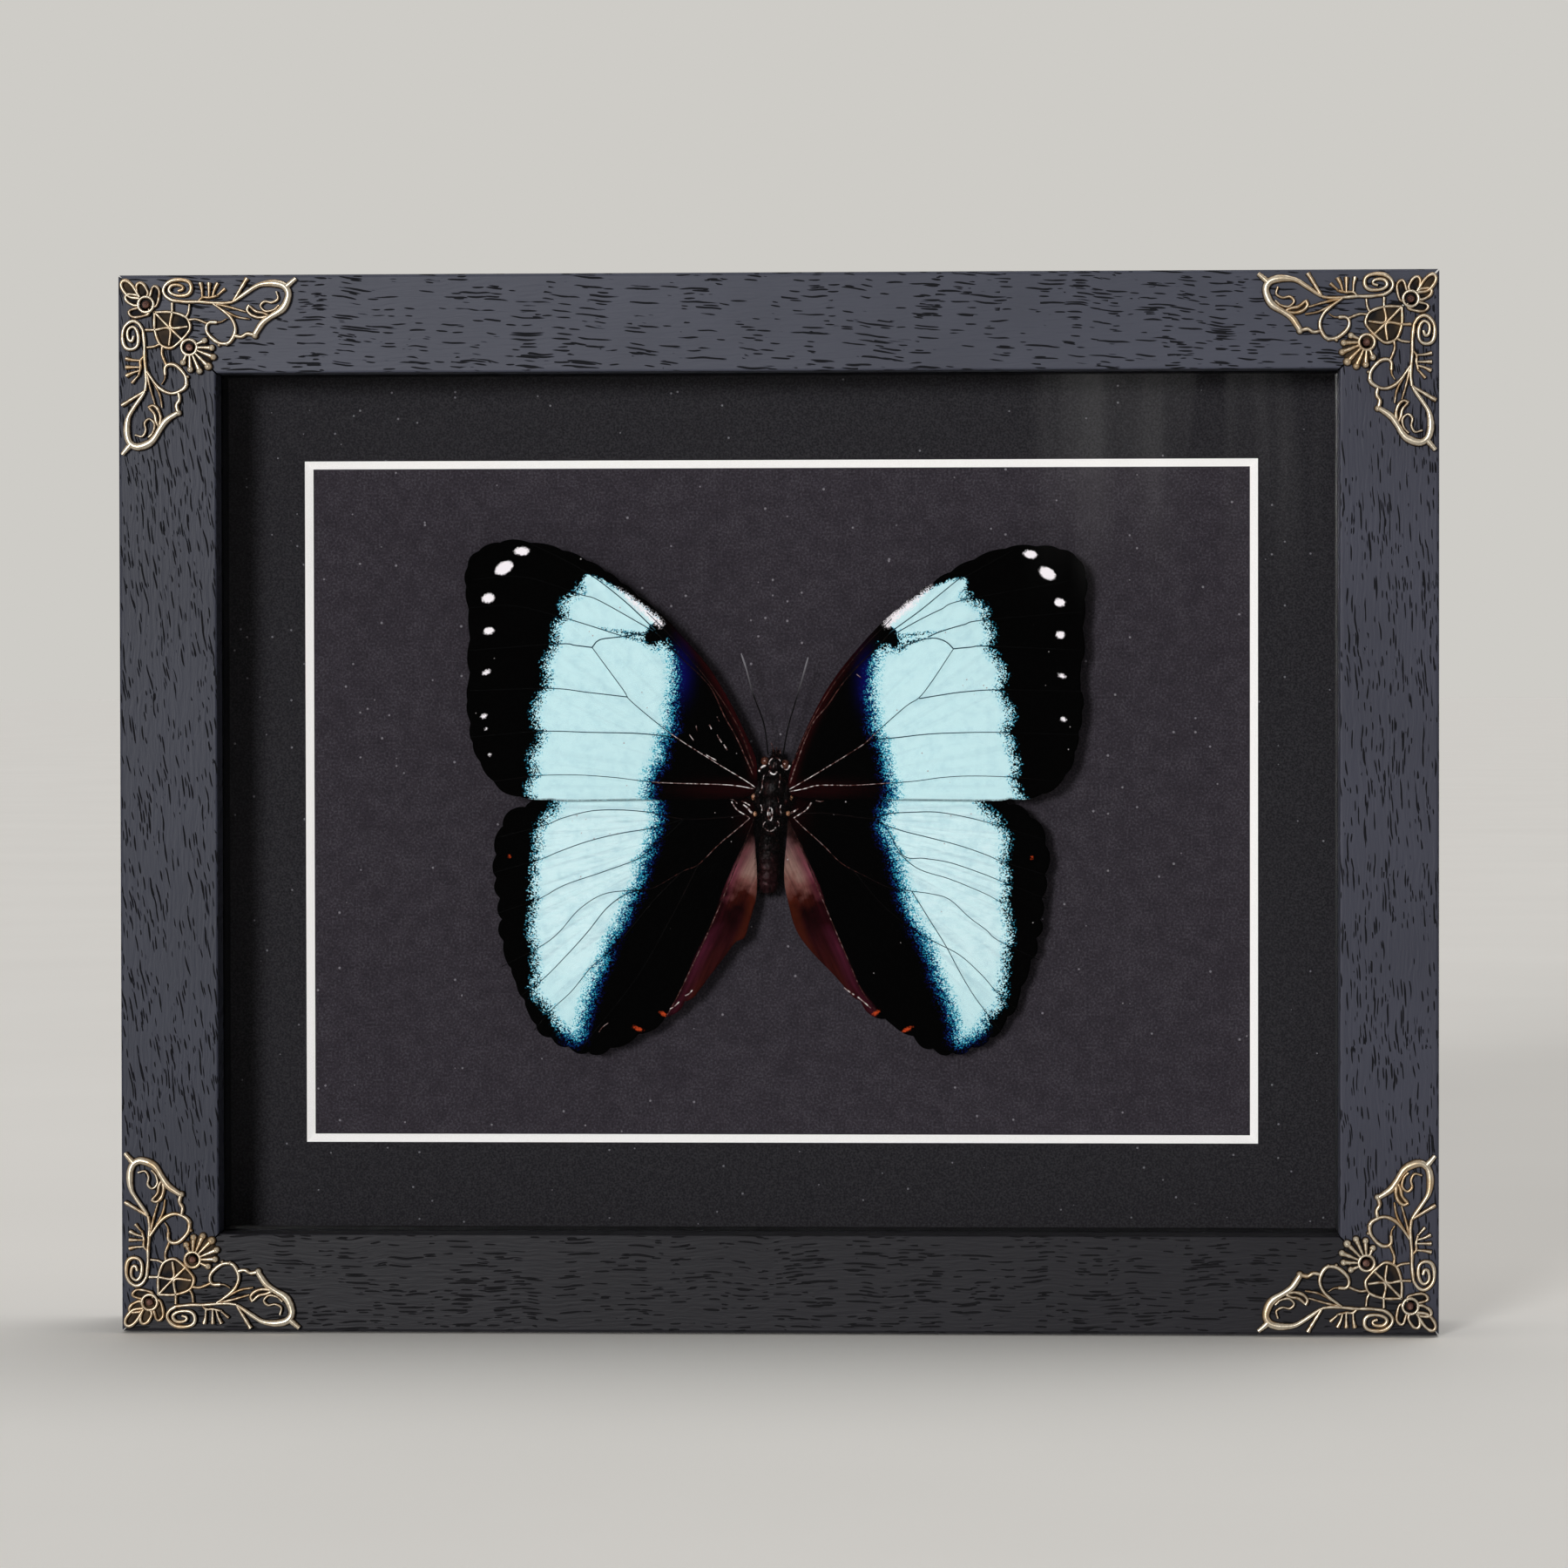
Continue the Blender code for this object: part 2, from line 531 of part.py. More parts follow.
def filigree_outlines():
    outlines = []
    for half_width, points in STROKES.values():
        outlines += with_mirror(ribbon(points, half_width))
    for tip, half_width in PETALS:
        outlines += with_mirror(petal(tip, half_width))[: 1 if tip[0] == tip[1] else 2]
    for tip in SHELL_TIPS:
        outlines += with_mirror(shell_rib(tip))[: 1 if tip[0] == tip[1] else 2]
    for centre, radius in KNOBS:
        outlines += with_mirror(circle(centre, radius, 7))
    outlines += [circle(centre, RING_RADIUS, 12) for centre in (FLOWER_CENTRE, SHELL_CENTRE)]
    outlines.append([*WEB_EDGE, *((down, along) for along, down in reversed(WEB_EDGE))])
    return outlines


def boss_mesh(centre):
    """A round-topped boss that stands through the casting from its back."""
    bm = bmesh.new()
    bmesh.ops.create_uvsphere(bm, u_segments=8, v_segments=6, radius=1)
    for vert in bm.verts:
        vert.co.z = max(vert.co.z, BOSS_FOOT)
    bmesh.ops.remove_doubles(bm, verts=bm.verts, dist=0.01)
    bmesh.ops.dissolve_limit(bm, angle_limit=math.radians(1), verts=bm.verts, edges=bm.edges)
    size = Matrix.Diagonal((BOSS_RADIUS * MM, BOSS_RADIUS * MM, BOSS_RISE * MM, 1))
    place = Matrix.Translation((centre[0] * MM, FRONT_Y - UNDERSIDE, -centre[1] * MM))
    bm.transform(place @ STAND_UP @ size)
    return mesh_from(bm)


def anticlockwise(outline):
    points = [Vector(point) for point in outline]
    doubled_area = sum(here.cross(after) for here, after in zip(points, points[1:] + points[:1]))
    return points if doubled_area > 0 else points[::-1]


def casting_sheet():
    """The front of the casting: its outlines joined in the plane, then filled inside their common rim."""
    corners, shapes = [], []
    for outline in map(anticlockwise, filigree_outlines()):
        shapes.append(list(range(len(corners), len(corners) + len(outline))))
        corners += outline
    inside_only = 1
    points, _, cells, _, _, owners = delaunay_2d_cdt(corners, [], shapes, inside_only, WELD_DISTANCE)
    sides = Counter()
    for cell, owner in zip(cells, owners):
        if owner:
            sides.update(frozenset(pair) for pair in zip(cell, cell[1:] + cell[:1]))
    rim = [tuple(pair) for pair, uses in sides.items() if uses == 1]
    bm = bmesh.new()
    verts = {}
    for place in sorted(set(chain(*rim))):
        verts[place] = bm.verts.new((points[place].x * MM, -points[place].y * MM, CASTING_RISE * MM))
    for start, end in rim:
        bm.edges.new((verts[start], verts[end]))
    bmesh.ops.dissolve_limit(bm, angle_limit=math.radians(4), verts=bm.verts, edges=bm.edges)
    bmesh.ops.triangle_fill(bm, use_beauty=True, edges=bm.edges, normal=(0, 0, 1))
    for face in bm.faces:
        if face.normal.z < 0:
            face.normal_flip()
    bm.transform(Matrix.Translation((0, FRONT_Y - UNDERSIDE, 0)) @ STAND_UP)
    sheet = bpy.data.meshes.new("sheet")
    bm.to_mesh(sheet)
    bm.free()
    return sheet


def evaluated_mesh(obj):
    bpy.context.view_layer.update()
    return bpy.data.meshes.new_from_object(obj.evaluated_get(bpy.context.evaluated_depsgraph_get()))


def filigree_mesh():
    """One corner's casting: a pierced plate with two bosses."""
    casting = add_cutter("filigree_casting", casting_sheet())
    plate = casting.modifiers.new("plate", "SOLIDIFY")
    plate.thickness = CASTING_RISE * MM
    plate.offset = -1
    for name, centre in (("flower_boss", FLOWER_CENTRE), ("shell_boss", SHELL_CENTRE)):
        unite(casting, add_cutter(name, boss_mesh(centre)))
    return evaluated_mesh(casting)


# Each corner: its name, its casting's turn from the top left, and which way it lies from the centre
CORNERS = (
    ("top_left", 0, -1, 1),
    ("top_right", 90, 1, 1),
    ("bottom_right", 180, 1, -1),
    ("bottom_left", -90, -1, -1),
)


def make_filigree():
    """One casting, turned to each corner: it mirrors about its own diagonal."""
    mesh = filigree_mesh()
    mesh.materials.clear()
    half_width, half_height = FRAME_WIDTH / 2, FRAME_HEIGHT / 2
    for name, turn, side, up in CORNERS:
        corner = add_mesh("filigree_" + name, mesh, "antique_bronze")
        corner.location = CENTRE + Vector((side * half_width, 0, up * half_height))
        corner.rotation_euler = (0, math.radians(turn), 0)


def wing_depth(across, up, root_depth):
    """A wing bows gently towards the glass along its middle and droops at its rim."""
    reach = math.hypot(across, up)
    bow = WING_BOW * math.sin(min(reach / WING_REACH, 1) * math.pi)
    return root_depth - bow + WING_RIPPLE * math.sin(reach / RIPPLE_LENGTH)


def make_wing(name, outline, root, root_depth, side):
    """A sheet lofted in rings from the root to the outline, and thickened evenly."""
    bm = bmesh.new()
    rings = []
    for share in RING_SHARES:
        ring = []
        for across, up in outline:
            x = root[0] + (across - root[0]) * share
            z = root[1] + (up - root[1]) * share
            y = FRONT_Y + wing_depth(x, z, root_depth) * MM
            ring.append(bm.verts.new((side * x * MM, y, z * MM)))
        rings.append(ring)
    bm.faces.new(rings[0])
    for inner, outer in zip(rings, rings[1:]):
        for place in range(len(outline)):
            after = (place + 1) % len(outline)
            bm.faces.new((inner[place], inner[after], outer[after], outer[place]))
    wing = add_mesh(name, mesh_from(bm), "wing_membrane")
    wing.location = SPECIMEN
    sheet = wing.modifiers.new("membrane", "SOLIDIFY")
    sheet.thickness = WING_THICKNESS
    sheet.offset = 0


def ball_mesh(place, radii, segments=10, rings=6):
    bm = bmesh.new()
    bmesh.ops.create_uvsphere(bm, u_segments=segments, v_segments=rings, radius=1)
    size = Matrix.Diagonal((*(Vector(radii) * MM), 1))
    spot = Vector(place) * MM + Vector((0, FRONT_Y + BODY_DEPTH * MM, 0))
    bm.transform(Matrix.Translation(spot) @ size)
    return mesh_from(bm)


def abdomen_mesh():
    """A tapering tube of segments: each ring is a fold between two plates."""
    start, end = Vector(ABDOMEN_START), Vector(ABDOMEN_END)
    curve = bpy.data.curves.new("abdomen", "CURVE")
    curve.dimensions = "3D"
    curve.bevel_depth = MM
    curve.bevel_resolution = 3
    curve.use_fill_caps = True
    spline = curve.splines.new("POLY")
    spline.points.add(len(ABDOMEN_RADII) - 1)
    for place, radius in enumerate(ABDOMEN_RADII):
        spot = start.lerp(end, place / (len(ABDOMEN_RADII) - 1))
        spline.points[place].co = (spot.x * MM, FRONT_Y + ABDOMEN_DEPTH * MM, spot.y * MM, 1)
        spline.points[place].radius = radius
    return mesh_from(curve_to_mesh(curve, Matrix.Identity(4)))


def make_body():
    """Head, eyes, palps, thorax and abdomen, grown as one."""
    body = add_mesh("insect_body", ball_mesh(*THORAX, segments=14, rings=10), "dark_chitin")
    body.location = SPECIMEN
    parts = {"head": ball_mesh(*HEAD), "waist": ball_mesh(*WAIST), "abdomen": abdomen_mesh()}
    for name, (place, radii) in (("eye", EYE), ("palp", PALP)):
        for side in (-1, 1):
            spot = (side * place[0] + HEAD[0][0], place[1], place[2])
            parts[f"{name}_{side}"] = ball_mesh(spot, radii, 8, 5)
    for name, mesh in parts.items():
        part = add_cutter(name, mesh)
        part.location = SPECIMEN
        unite(body, part)


def make_antennae():
    for name, points in (("antenna_left", ANTENNA_LEFT), ("antenna_right", ANTENNA_RIGHT)):
        curve = bpy.data.curves.new(name, "CURVE")
        curve.dimensions = "3D"
        curve.bevel_depth = ANTENNA_RADIUS * MM
        curve.bevel_resolution = 1
        curve.use_fill_caps = True
        spline = curve.splines.new("POLY")
        spline.points.add(len(points) - 1)
        for place, (across, up) in enumerate(points):
            depth = FRONT_Y + ANTENNA_DEPTHS[place] * MM
            spline.points[place].co = (across * MM, depth, up * MM, 1)
            spline.points[place].radius = CLUB_SWELL[place]
        antenna = add_mesh(name, mesh_from(curve_to_mesh(curve, Matrix.Identity(4))), "dark_chitin")
        antenna.location = SPECIMEN


empty_scene()
piece_collection = new_collection("framed_butterfly_specimen")
cutter_collection = new_collection("cutters", is_rendered=False)
materials = {name: new_material(name) for name in FINISHES}

upper_rail = make_frame_rails()
make_steel_points()
make_layer("glass_pane", "picture_glass", GLASS_DEPTH, GLASS_THICKNESS)
make_spacers()
make_window_mat()
make_layer("backing_card", "charcoal_card", CARD_DEPTH, CARD_THICKNESS, 0.2 * MM)
make_layer("back_panel", "brown_hardboard", PANEL_DEPTH, PANEL_THICKNESS, 0.2 * MM)
make_hanger(upper_rail)
make_filigree()
make_wing("forewing_left", FOREWING_LEFT, FOREWING_ROOT, FOREWING_DEPTH, -1)
make_wing("forewing_right", FOREWING_RIGHT, FOREWING_ROOT, FOREWING_DEPTH, 1)
make_wing("hindwing_left", HINDWING_LEFT, HINDWING_ROOT, HINDWING_DEPTH, -1)
make_wing("hindwing_right", HINDWING_RIGHT, HINDWING_ROOT, HINDWING_DEPTH, 1)
make_body()
make_antennae()
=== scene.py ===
import math
import random
from functools import partial

import bmesh
import bpy
import numpy as np
from mathutils import Matrix, Vector
from mathutils.geometry import delaunay_2d_cdt


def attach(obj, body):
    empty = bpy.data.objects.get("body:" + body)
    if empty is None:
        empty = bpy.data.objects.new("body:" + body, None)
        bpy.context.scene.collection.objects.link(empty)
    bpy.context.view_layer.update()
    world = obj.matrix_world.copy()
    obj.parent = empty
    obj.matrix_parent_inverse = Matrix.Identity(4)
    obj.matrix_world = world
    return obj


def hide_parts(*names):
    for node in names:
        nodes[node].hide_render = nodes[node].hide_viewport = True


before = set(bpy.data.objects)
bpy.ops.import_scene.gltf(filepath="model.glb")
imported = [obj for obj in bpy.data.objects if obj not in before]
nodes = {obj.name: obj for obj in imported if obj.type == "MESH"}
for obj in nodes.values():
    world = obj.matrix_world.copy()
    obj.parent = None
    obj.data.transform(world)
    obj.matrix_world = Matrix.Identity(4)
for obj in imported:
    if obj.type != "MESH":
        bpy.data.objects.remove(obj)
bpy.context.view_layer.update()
scene = bpy.context.scene
scene.view_settings.view_transform = "Standard"
mm = 0.001
# in millimetres: the rails' face, half the frame across and up, and the middle of the thorax across and up
faceY = -15.0
halfFrame = (127.5, 102.5)
specimen = (-1.3, 104.6)
print("frame loaded:", len(nodes), "nodes")


# Nodes, colours and materials

def hexColour(code):
    values = [int(code[i:i + 2], 16) / 255 for i in (1, 3, 5)]
    return tuple(v / 12.92 if v <= 0.04045 else ((v + 0.055) / 1.055) ** 2.4 for v in values) + (1.0,)


def feed(node, *values, **named):
    # gives a node's inputs values or links: in their order, or by name without its spaces
    shown = [s for s in node.inputs if s.enabled]
    byName = {s.name.replace(" ", ""): s for s in shown[::-1]}
    for socket, value in [*zip(shown, values), *((byName[key], value) for key, value in named.items())]:
        if isinstance(value, bpy.types.Node):
            value = next(s for s in value.outputs if s.enabled)
        if isinstance(value, bpy.types.NodeSocket):
            node.id_data.links.new(value, socket)
        else:
            socket.default_value = hexColour(value) if isinstance(value, str) and value[:1] == "#" else value


def addNode(tree, kind, *values, stops=(), **named):
    # a kind's second word is its operation or data type, and names in small letters are its settings
    kind, _, mode = kind.partition(" ")
    if mode in ("ADD", "MULTIPLY") and len(values) > 2:
        values = (addNode(tree, f"{kind} {mode}", *values[:-1]), values[-1])
    node = tree.nodes.new(kind if "Node" in kind else "ShaderNode" + kind)
    if mode:
        setattr(node, "operation" if hasattr(node, "operation") else "data_type", mode)
    for key in [key for key in named if key[0].islower()]:
        setattr(node, key, named.pop(key))
    feed(node, *values, **named)
    if stops:
        elements = node.color_ramp.elements
        while len(elements) < len(stops) / 2:
            elements.new(0.5)
        for element, place, colour in zip(elements, stops[::2], stops[1::2]):
            element.position = place
            element.color = hexColour(colour)
    return node


def newMaterial(name, **constants):
    # gives the material, its shader, what adds its nodes, and the object's own coordinates
    material = bpy.data.materials.new(name)
    material.use_nodes = True
    shader = material.node_tree.nodes["Principled BSDF"]
    feed(shader, **constants)
    add = partial(addNode, material.node_tree)
    return material, shader, add, add("TexCoord").outputs["Object"]


def patterned(name, texture, stops, gloss=None, relief=None, **constants):
    # one pattern sets the tone and, where given, the range of roughness and the depth and strength of relief
    material, shader, add, place = newMaterial(name, **constants)
    kind, scale, *detail = texture
    pattern = add(kind, place, Scale=scale, **({"Detail": detail[0]} if detail else {}))
    feed(shader, BaseColor=add("ValToRGB", pattern, stops=stops))
    if gloss:
        feed(shader, Roughness=add("MapRange", pattern, 0, 1, *gloss))
    if relief:
        feed(shader, Normal=add("Bump", Height=pattern, Distance=relief[0] * mm, Strength=relief[1]))
    return material


def flecked(add, place, under, colour, scale, rarity=0.95, size=0.17, channel=0):
    # a few small flecks, one in each chosen cell of an even scatter
    cells = add("TexVoronoi", place, Scale=scale).outputs
    rare = add("Math GREATER_THAN", add("SeparateColor", cells["Color"]).outputs[channel], rarity)
    small = add("Math LESS_THAN", cells["Distance"], size)
    return add("Mix RGBA", add("Math MULTIPLY", rare, small), under, colour)


def setLook(node, material):
    node.data.materials.clear()
    node.data.materials.append(material)


# Shapes in the plane, in millimetres

def path(*numbers):
    return np.array(numbers, float).reshape(-1, 2)


def smoothPath(points, step, closed=False):
    # a curve through the points, with a point about every step
    p = np.array(points, float)
    n = len(p)
    made = []
    for i in range(n if closed else n - 1):
        if closed:
            a, b, c, d = (p[(i + k) % n] for k in (-1, 0, 1, 2))
        else:
            b, c = p[i], p[i + 1]
            a = p[i - 1] if i else 2 * b - c
            d = p[i + 2] if i + 2 < n else 2 * c - b
        count = max(1, round(float(np.linalg.norm(c - b)) / step))
        for t in np.arange(count) / count:
            made.append(0.5 * (2 * b + (c - a) * t + (2 * a - 5 * b + 4 * c - d) * t ** 2
                               + (3 * b - a - 3 * c + d) * t ** 3))
    return np.array(made if closed else made + [p[-1]])


def lineDistance(points, line):
    # the distance of each point to a line of straight pieces
    best = np.full(len(points), 1e9)
    for a, b in zip(line[:-1], line[1:]):
        t = np.clip(((points - a) @ (b - a)) / max((b - a) @ (b - a), 1e-12), 0, 1)
        best = np.minimum(best, np.linalg.norm(points - a - t[:, None] * (b - a), axis=1))
    return best


def signedDistance(points, loop):
    # the distance to a closed outline, positive inside it
    closed = np.vstack([loop, loop[:1]])
    gap = lineDistance(points, closed)
    inside = np.zeros(len(points), bool)
    for (ax, ay), (bx, by) in zip(closed[:-1], closed[1:]):
        if ay != by:
            crosses = (ay > points[:, 1]) != (by > points[:, 1])
            inside ^= crosses & (points[:, 0] < (bx - ax) * (points[:, 1] - ay) / (by - ay) + ax)
    return np.where(inside, gap, -gap)


def leftTurned(loop):
    ahead = np.roll(loop, -1, 0)
    return loop if np.sum(loop[:, 0] * ahead[:, 1] - ahead[:, 0] * loop[:, 1]) > 0 else loop[::-1]


def filled(loop, spacing, inset):
    # triangles over the inside of an outline, on an even grid of rows
    low, high = loop.min(0), loop.max(0)
    rows = np.arange(low[1], high[1], spacing * 0.866)
    grid = np.array([(x + (spacing / 2 if i % 2 else 0), y) for i, y in enumerate(rows)
                     for x in np.arange(low[0], high[0], spacing)])
    inner = grid[signedDistance(grid, loop) > inset]
    made = delaunay_2d_cdt([Vector(p) for p in (*loop, *inner)], [], [list(range(len(loop)))], 1, 1e-5)
    return np.array([tuple(v) for v in made[0]]), [tuple(f) for f in made[2]]


def smoothStep(value, low, high):
    t = np.clip((value - low) / (high - low), 0, 1)
    return t * t * (3 - 2 * t)


# Meshes, and what Geometry Nodes make of them

def newMesh(name, points, faces, attributes=None, edges=(), material=None):
    mesh = bpy.data.meshes.new(name)
    mesh.from_pydata([tuple(map(float, p)) for p in points], list(edges), [tuple(map(int, f)) for f in faces])
    for key, values in (attributes or {}).items():
        layer = mesh.attributes.new(key, "FLOAT", "POINT")
        layer.data.foreach_set("value", np.asarray(values, np.float32))
    if material:
        mesh.materials.append(material)
    mesh.update()
    return mesh


def baked(mesh, settings, tree=None):
    # the mesh that one modifier makes of another: a node tree, or else an even thickness
    carrier = bpy.data.objects.new("carrier", mesh)
    scene.collection.objects.link(carrier)
    modifier = carrier.modifiers.new("shape", "NODES" if tree else "SOLIDIFY")
    if tree:
        modifier.node_group = tree
        for item in tree.interface.items_tree:
            if item.item_type == "SOCKET" and item.in_out == "INPUT" and item.name in settings:
                modifier[item.identifier] = settings[item.name]
    else:
        for key, value in settings.items():
            setattr(modifier, key, value)
    carrier.update_tag()
    bpy.context.view_layer.update()
    graph = bpy.context.evaluated_depsgraph_get()
    made = bpy.data.meshes.new_from_object(carrier.evaluated_get(graph), preserve_all_data_layers=True,
                                           depsgraph=graph)
    bpy.data.objects.remove(carrier)
    return made


def newTree(name, *inputs):
    # a node tree with named inputs, what adds its nodes, and the values given to it
    tree = bpy.data.node_groups.new(name, "GeometryNodeTree")
    tree.interface.new_socket("Geometry", in_out="INPUT", socket_type="NodeSocketGeometry")
    for label, kind, value in inputs:
        socket = tree.interface.new_socket(label, in_out="INPUT", socket_type="NodeSocket" + kind)
        if value is not None:
            socket.default_value = value
    tree.interface.new_socket("Geometry", in_out="OUTPUT", socket_type="NodeSocketGeometry")
    return tree, partial(addNode, tree), tree.nodes.new("NodeGroupInput").outputs


def endTree(add, geometry, material):
    real = add("GeometryNodeRealizeInstances", Geometry=geometry)
    add("NodeGroupOutput", add("GeometryNodeSetMaterial", Geometry=real, Material=material))


# sweeps an oval along drawn paths, as wide at each point as the path's attribute says
sweepTree, add, given = newTree("sweep along drawn paths", ("Sides", "Int", 8), ("Flatness", "Float", 1.0),
                                ("Material", "Material", None))
upright = add("GeometryNodeSetCurveNormal", add("GeometryNodeMeshToCurve", given["Geometry"]), mode="Z_UP")
ring = add("GeometryNodeCurvePrimitiveCircle", Resolution=given["Sides"], Radius=1)
oval = add("GeometryNodeTransform", Geometry=ring, Scale=add("CombineXYZ", 1, given["Flatness"], 1))
width = add("GeometryNodeInputNamedAttribute FLOAT", Name="half")
tube = add("GeometryNodeCurveToMesh", Curve=upright, ProfileCurve=oval, Scale=width, FillCaps=True)
endTree(add, tube, given["Material"])

# short tapering hairs over a surface, as dense as its attribute says, combed towards one direction
furTree, add, given = newTree(
    "combed hairs", ("Density", "Float", 1.0), ("Length", "Float", 1.0), ("Thickness", "Float", 0.04),
    ("Lay", "Vector", (0.0, 0.0, -1.0)), ("Combing", "Float", 0.5), ("Seed", "Int", 1),
    ("Material", "Material", None))
dense = add("Math MULTIPLY", given["Density"], add("GeometryNodeInputNamedAttribute FLOAT", Name="hairy"))
spread = add("GeometryNodeDistributePointsOnFaces", given["Geometry"], Density=dense,
             Seed=given["Seed"]).outputs
lean = add("FunctionNodeAlignRotationToVector", Rotation=spread["Rotation"], Factor=given["Combing"],
           Vector=given["Lay"], axis="Z")
tilt = add("FunctionNodeRandomValue FLOAT_VECTOR", Min=(-0.4, -0.4, -3), Max=(0.4, 0.4, 3), Seed=5)
turned = add("FunctionNodeRotateRotation", Rotation=lean, RotateBy=tilt, rotation_space="LOCAL")
hair = add("GeometryNodeMeshCone", Vertices=4, SideSegments=2, RadiusTop=0.1, RadiusBottom=1, Depth=1,
           fill_type="NONE")
longer = add("FunctionNodeRandomValue FLOAT", Min=0.5, Max=1.2, Seed=9)
thick, length = given["Thickness"], add("Math MULTIPLY", longer, given["Length"])
size = add("CombineXYZ", thick, thick, length)
grown = add("GeometryNodeInstanceOnPoints", spread["Points"], Instance=hair, Rotation=turned, Scale=size)
endTree(add, grown, given["Material"])


def swept(strokes, sides, flatness, material):
    # strokes hold points in three dimensions, half widths, and further attributes, one value each point
    points, edges, attributes = [], [], {}
    for stroke in strokes:
        start = len(points)
        points += list(stroke["points"])
        edges += [(i, i + 1) for i in range(start, len(points) - 1)]
        for key, values in stroke.items():
            if key != "points":
                attributes.setdefault(key, []).extend(values)
    return baked(newMesh("paths", points, [], attributes, edges),
                 {"Sides": sides, "Flatness": flatness, "Material": material}, sweepTree)


def overSpecimen(line, depth, side=1):
    # a line across and up from the thorax, and behind the rails' face, lies flat until sweptUpright turns it
    return np.column_stack([specimen[0] + side * line[:, 0], specimen[1] + line[:, 1], -(faceY + depth)])


def sweptUpright(*given):
    mesh = swept(*given)
    co = pointsOf(mesh)
    movePoints(mesh, np.column_stack([co[:, 0], -co[:, 2], co[:, 1]]) * mm)
    return mesh


def pointsOf(mesh):
    return read(mesh.vertices, "co", 3).reshape(-1, 3)


def read(items, key, width=1):
    values = np.empty(len(items) * width, np.float32)
    items.foreach_get(key, values)
    return values.astype(float)


def movePoints(mesh, points):
    mesh.vertices.foreach_set("co", np.asarray(points, np.float32).ravel())
    mesh.update()


def ringed(rings, around, capTurn=-1):
    # a closed skin over rings, each with its centre across and back, its height and its two radii
    turns = [2 * math.pi * k / around for k in range(around)]
    points = [(x + a * math.cos(t), y + b * math.sin(t), z) for x, y, z, a, b in rings for t in turns]
    last = len(points) - around
    faces = [(i + k, i + (k + 1) % around, i + around + (k + 1) % around, i + around + k)
             for i in range(0, last, around) for k in range(around)]
    return points, faces + [tuple(range(around))[::capTurn], tuple(range(last, last + around))[::-capTurn]]


def joined(name, meshes):
    # one mesh from several, which keeps their materials and attributes
    objects = []
    for mesh in meshes:
        objects.append(bpy.data.objects.new(name, mesh))
        scene.collection.objects.link(objects[-1])
    with bpy.context.temp_override(active_object=objects[0], object=objects[0], selected_objects=objects,
                                   selected_editable_objects=objects):
        bpy.ops.object.join()
    return objects[0]


def turnOutwards(mesh):
    bm = bmesh.new()
    bm.from_mesh(mesh)
    bmesh.ops.recalc_face_normals(bm, faces=bm.faces)
    bm.to_mesh(mesh)
    bm.free()


def showPiece(name, meshes, node, outwards=True):
    piece = joined(name, meshes)
    for face in piece.data.polygons:
        face.use_smooth = True
    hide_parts(node)
    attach(piece, "root")
    if outwards:
        turnOutwards(piece.data)
    return piece


# The camera, at the place and angle of the photo

view = {"eye": (48.0, -1075.0, 126.0), "target": (1.52, -15.0, 106.3), "lens": 126.2, "roll": -0.0017,
        "nearest": 0.02}
camera = bpy.data.objects.new("camera", bpy.data.cameras.new("camera"))
scene.collection.objects.link(camera)
camera.data.lens = view["lens"]
camera.data.clip_start = view["nearest"]
camera.location = Vector(view["eye"]) * mm
aim = (Vector(view["target"]) - Vector(view["eye"])).to_track_quat("-Z", "Y").to_matrix()
camera.rotation_euler = (aim @ Matrix.Rotation(view["roll"], 3, "Z")).to_euler()
scene.camera = camera

# Light: one broad lamp from the upper left, a weaker one overhead, and a pale room, dark behind the camera

# each lamp: its strength, its spread in degrees, and the side that it shines from
light = {"lamps": {"key lamp": (2.42, 13.0, (-0.344, -1.0, 0.16)), "top lamp": (0.8, 40.0, (0.2, 0.3, 1.0))},
         "room": 0.42, "dark": 0.014, "streak": 0.3, "roomColour": "#FBFAF8", "wall": "#CECCC7"}
for name, (strength, angle, source) in light["lamps"].items():
    lamp = bpy.data.objects.new(name, bpy.data.lights.new(name, "SUN"))
    scene.collection.objects.link(lamp)
    lamp.data.energy = strength
    lamp.data.angle = math.radians(angle)
    lamp.rotation_euler = Vector(source).to_track_quat("Z", "Y").to_euler()

world = bpy.data.worlds.new("room")
scene.world = world
world.use_nodes = True
add = partial(addNode, world.node_tree)
way = add("TexCoord").outputs["Generated"]
parts = add("SeparateXYZ", way).outputs
front = add("Math MULTIPLY", parts["Y"], -1)
smooth = {"interpolation_type": "SMOOTHSTEP"}
room = add("MapRange", front, 0.25, 0.8, light["room"], light["dark"], **smooth)
# faint upright streaks that the glass mirrors at its upper right
streakX = add("MapRange", parts["X"], -0.002, 0.01, **smooth)
streakZ = add("MapRange", parts["Z"], 0.01, 0.046, **smooth)
bars = add("TexNoise", add("Mapping", way, Scale=(110, 1, 9)), Scale=1, Detail=2)
streak = add("Math MULTIPLY", streakX, streakZ, add("Math GREATER_THAN", front, 0.9),
             add("MapRange", bars, 0.46, 0.7), light["streak"])
# the wall behind is as pale as the floor, so no line shows where they meet
seen = add("LightPath").outputs["Is Camera Ray"]
feed(world.node_tree.nodes["Background"], Color=add("Mix RGBA", seen, light["roomColour"], light["wall"]),
     Strength=add("Mix FLOAT", seen, add("Math ADD", room, streak), 1))

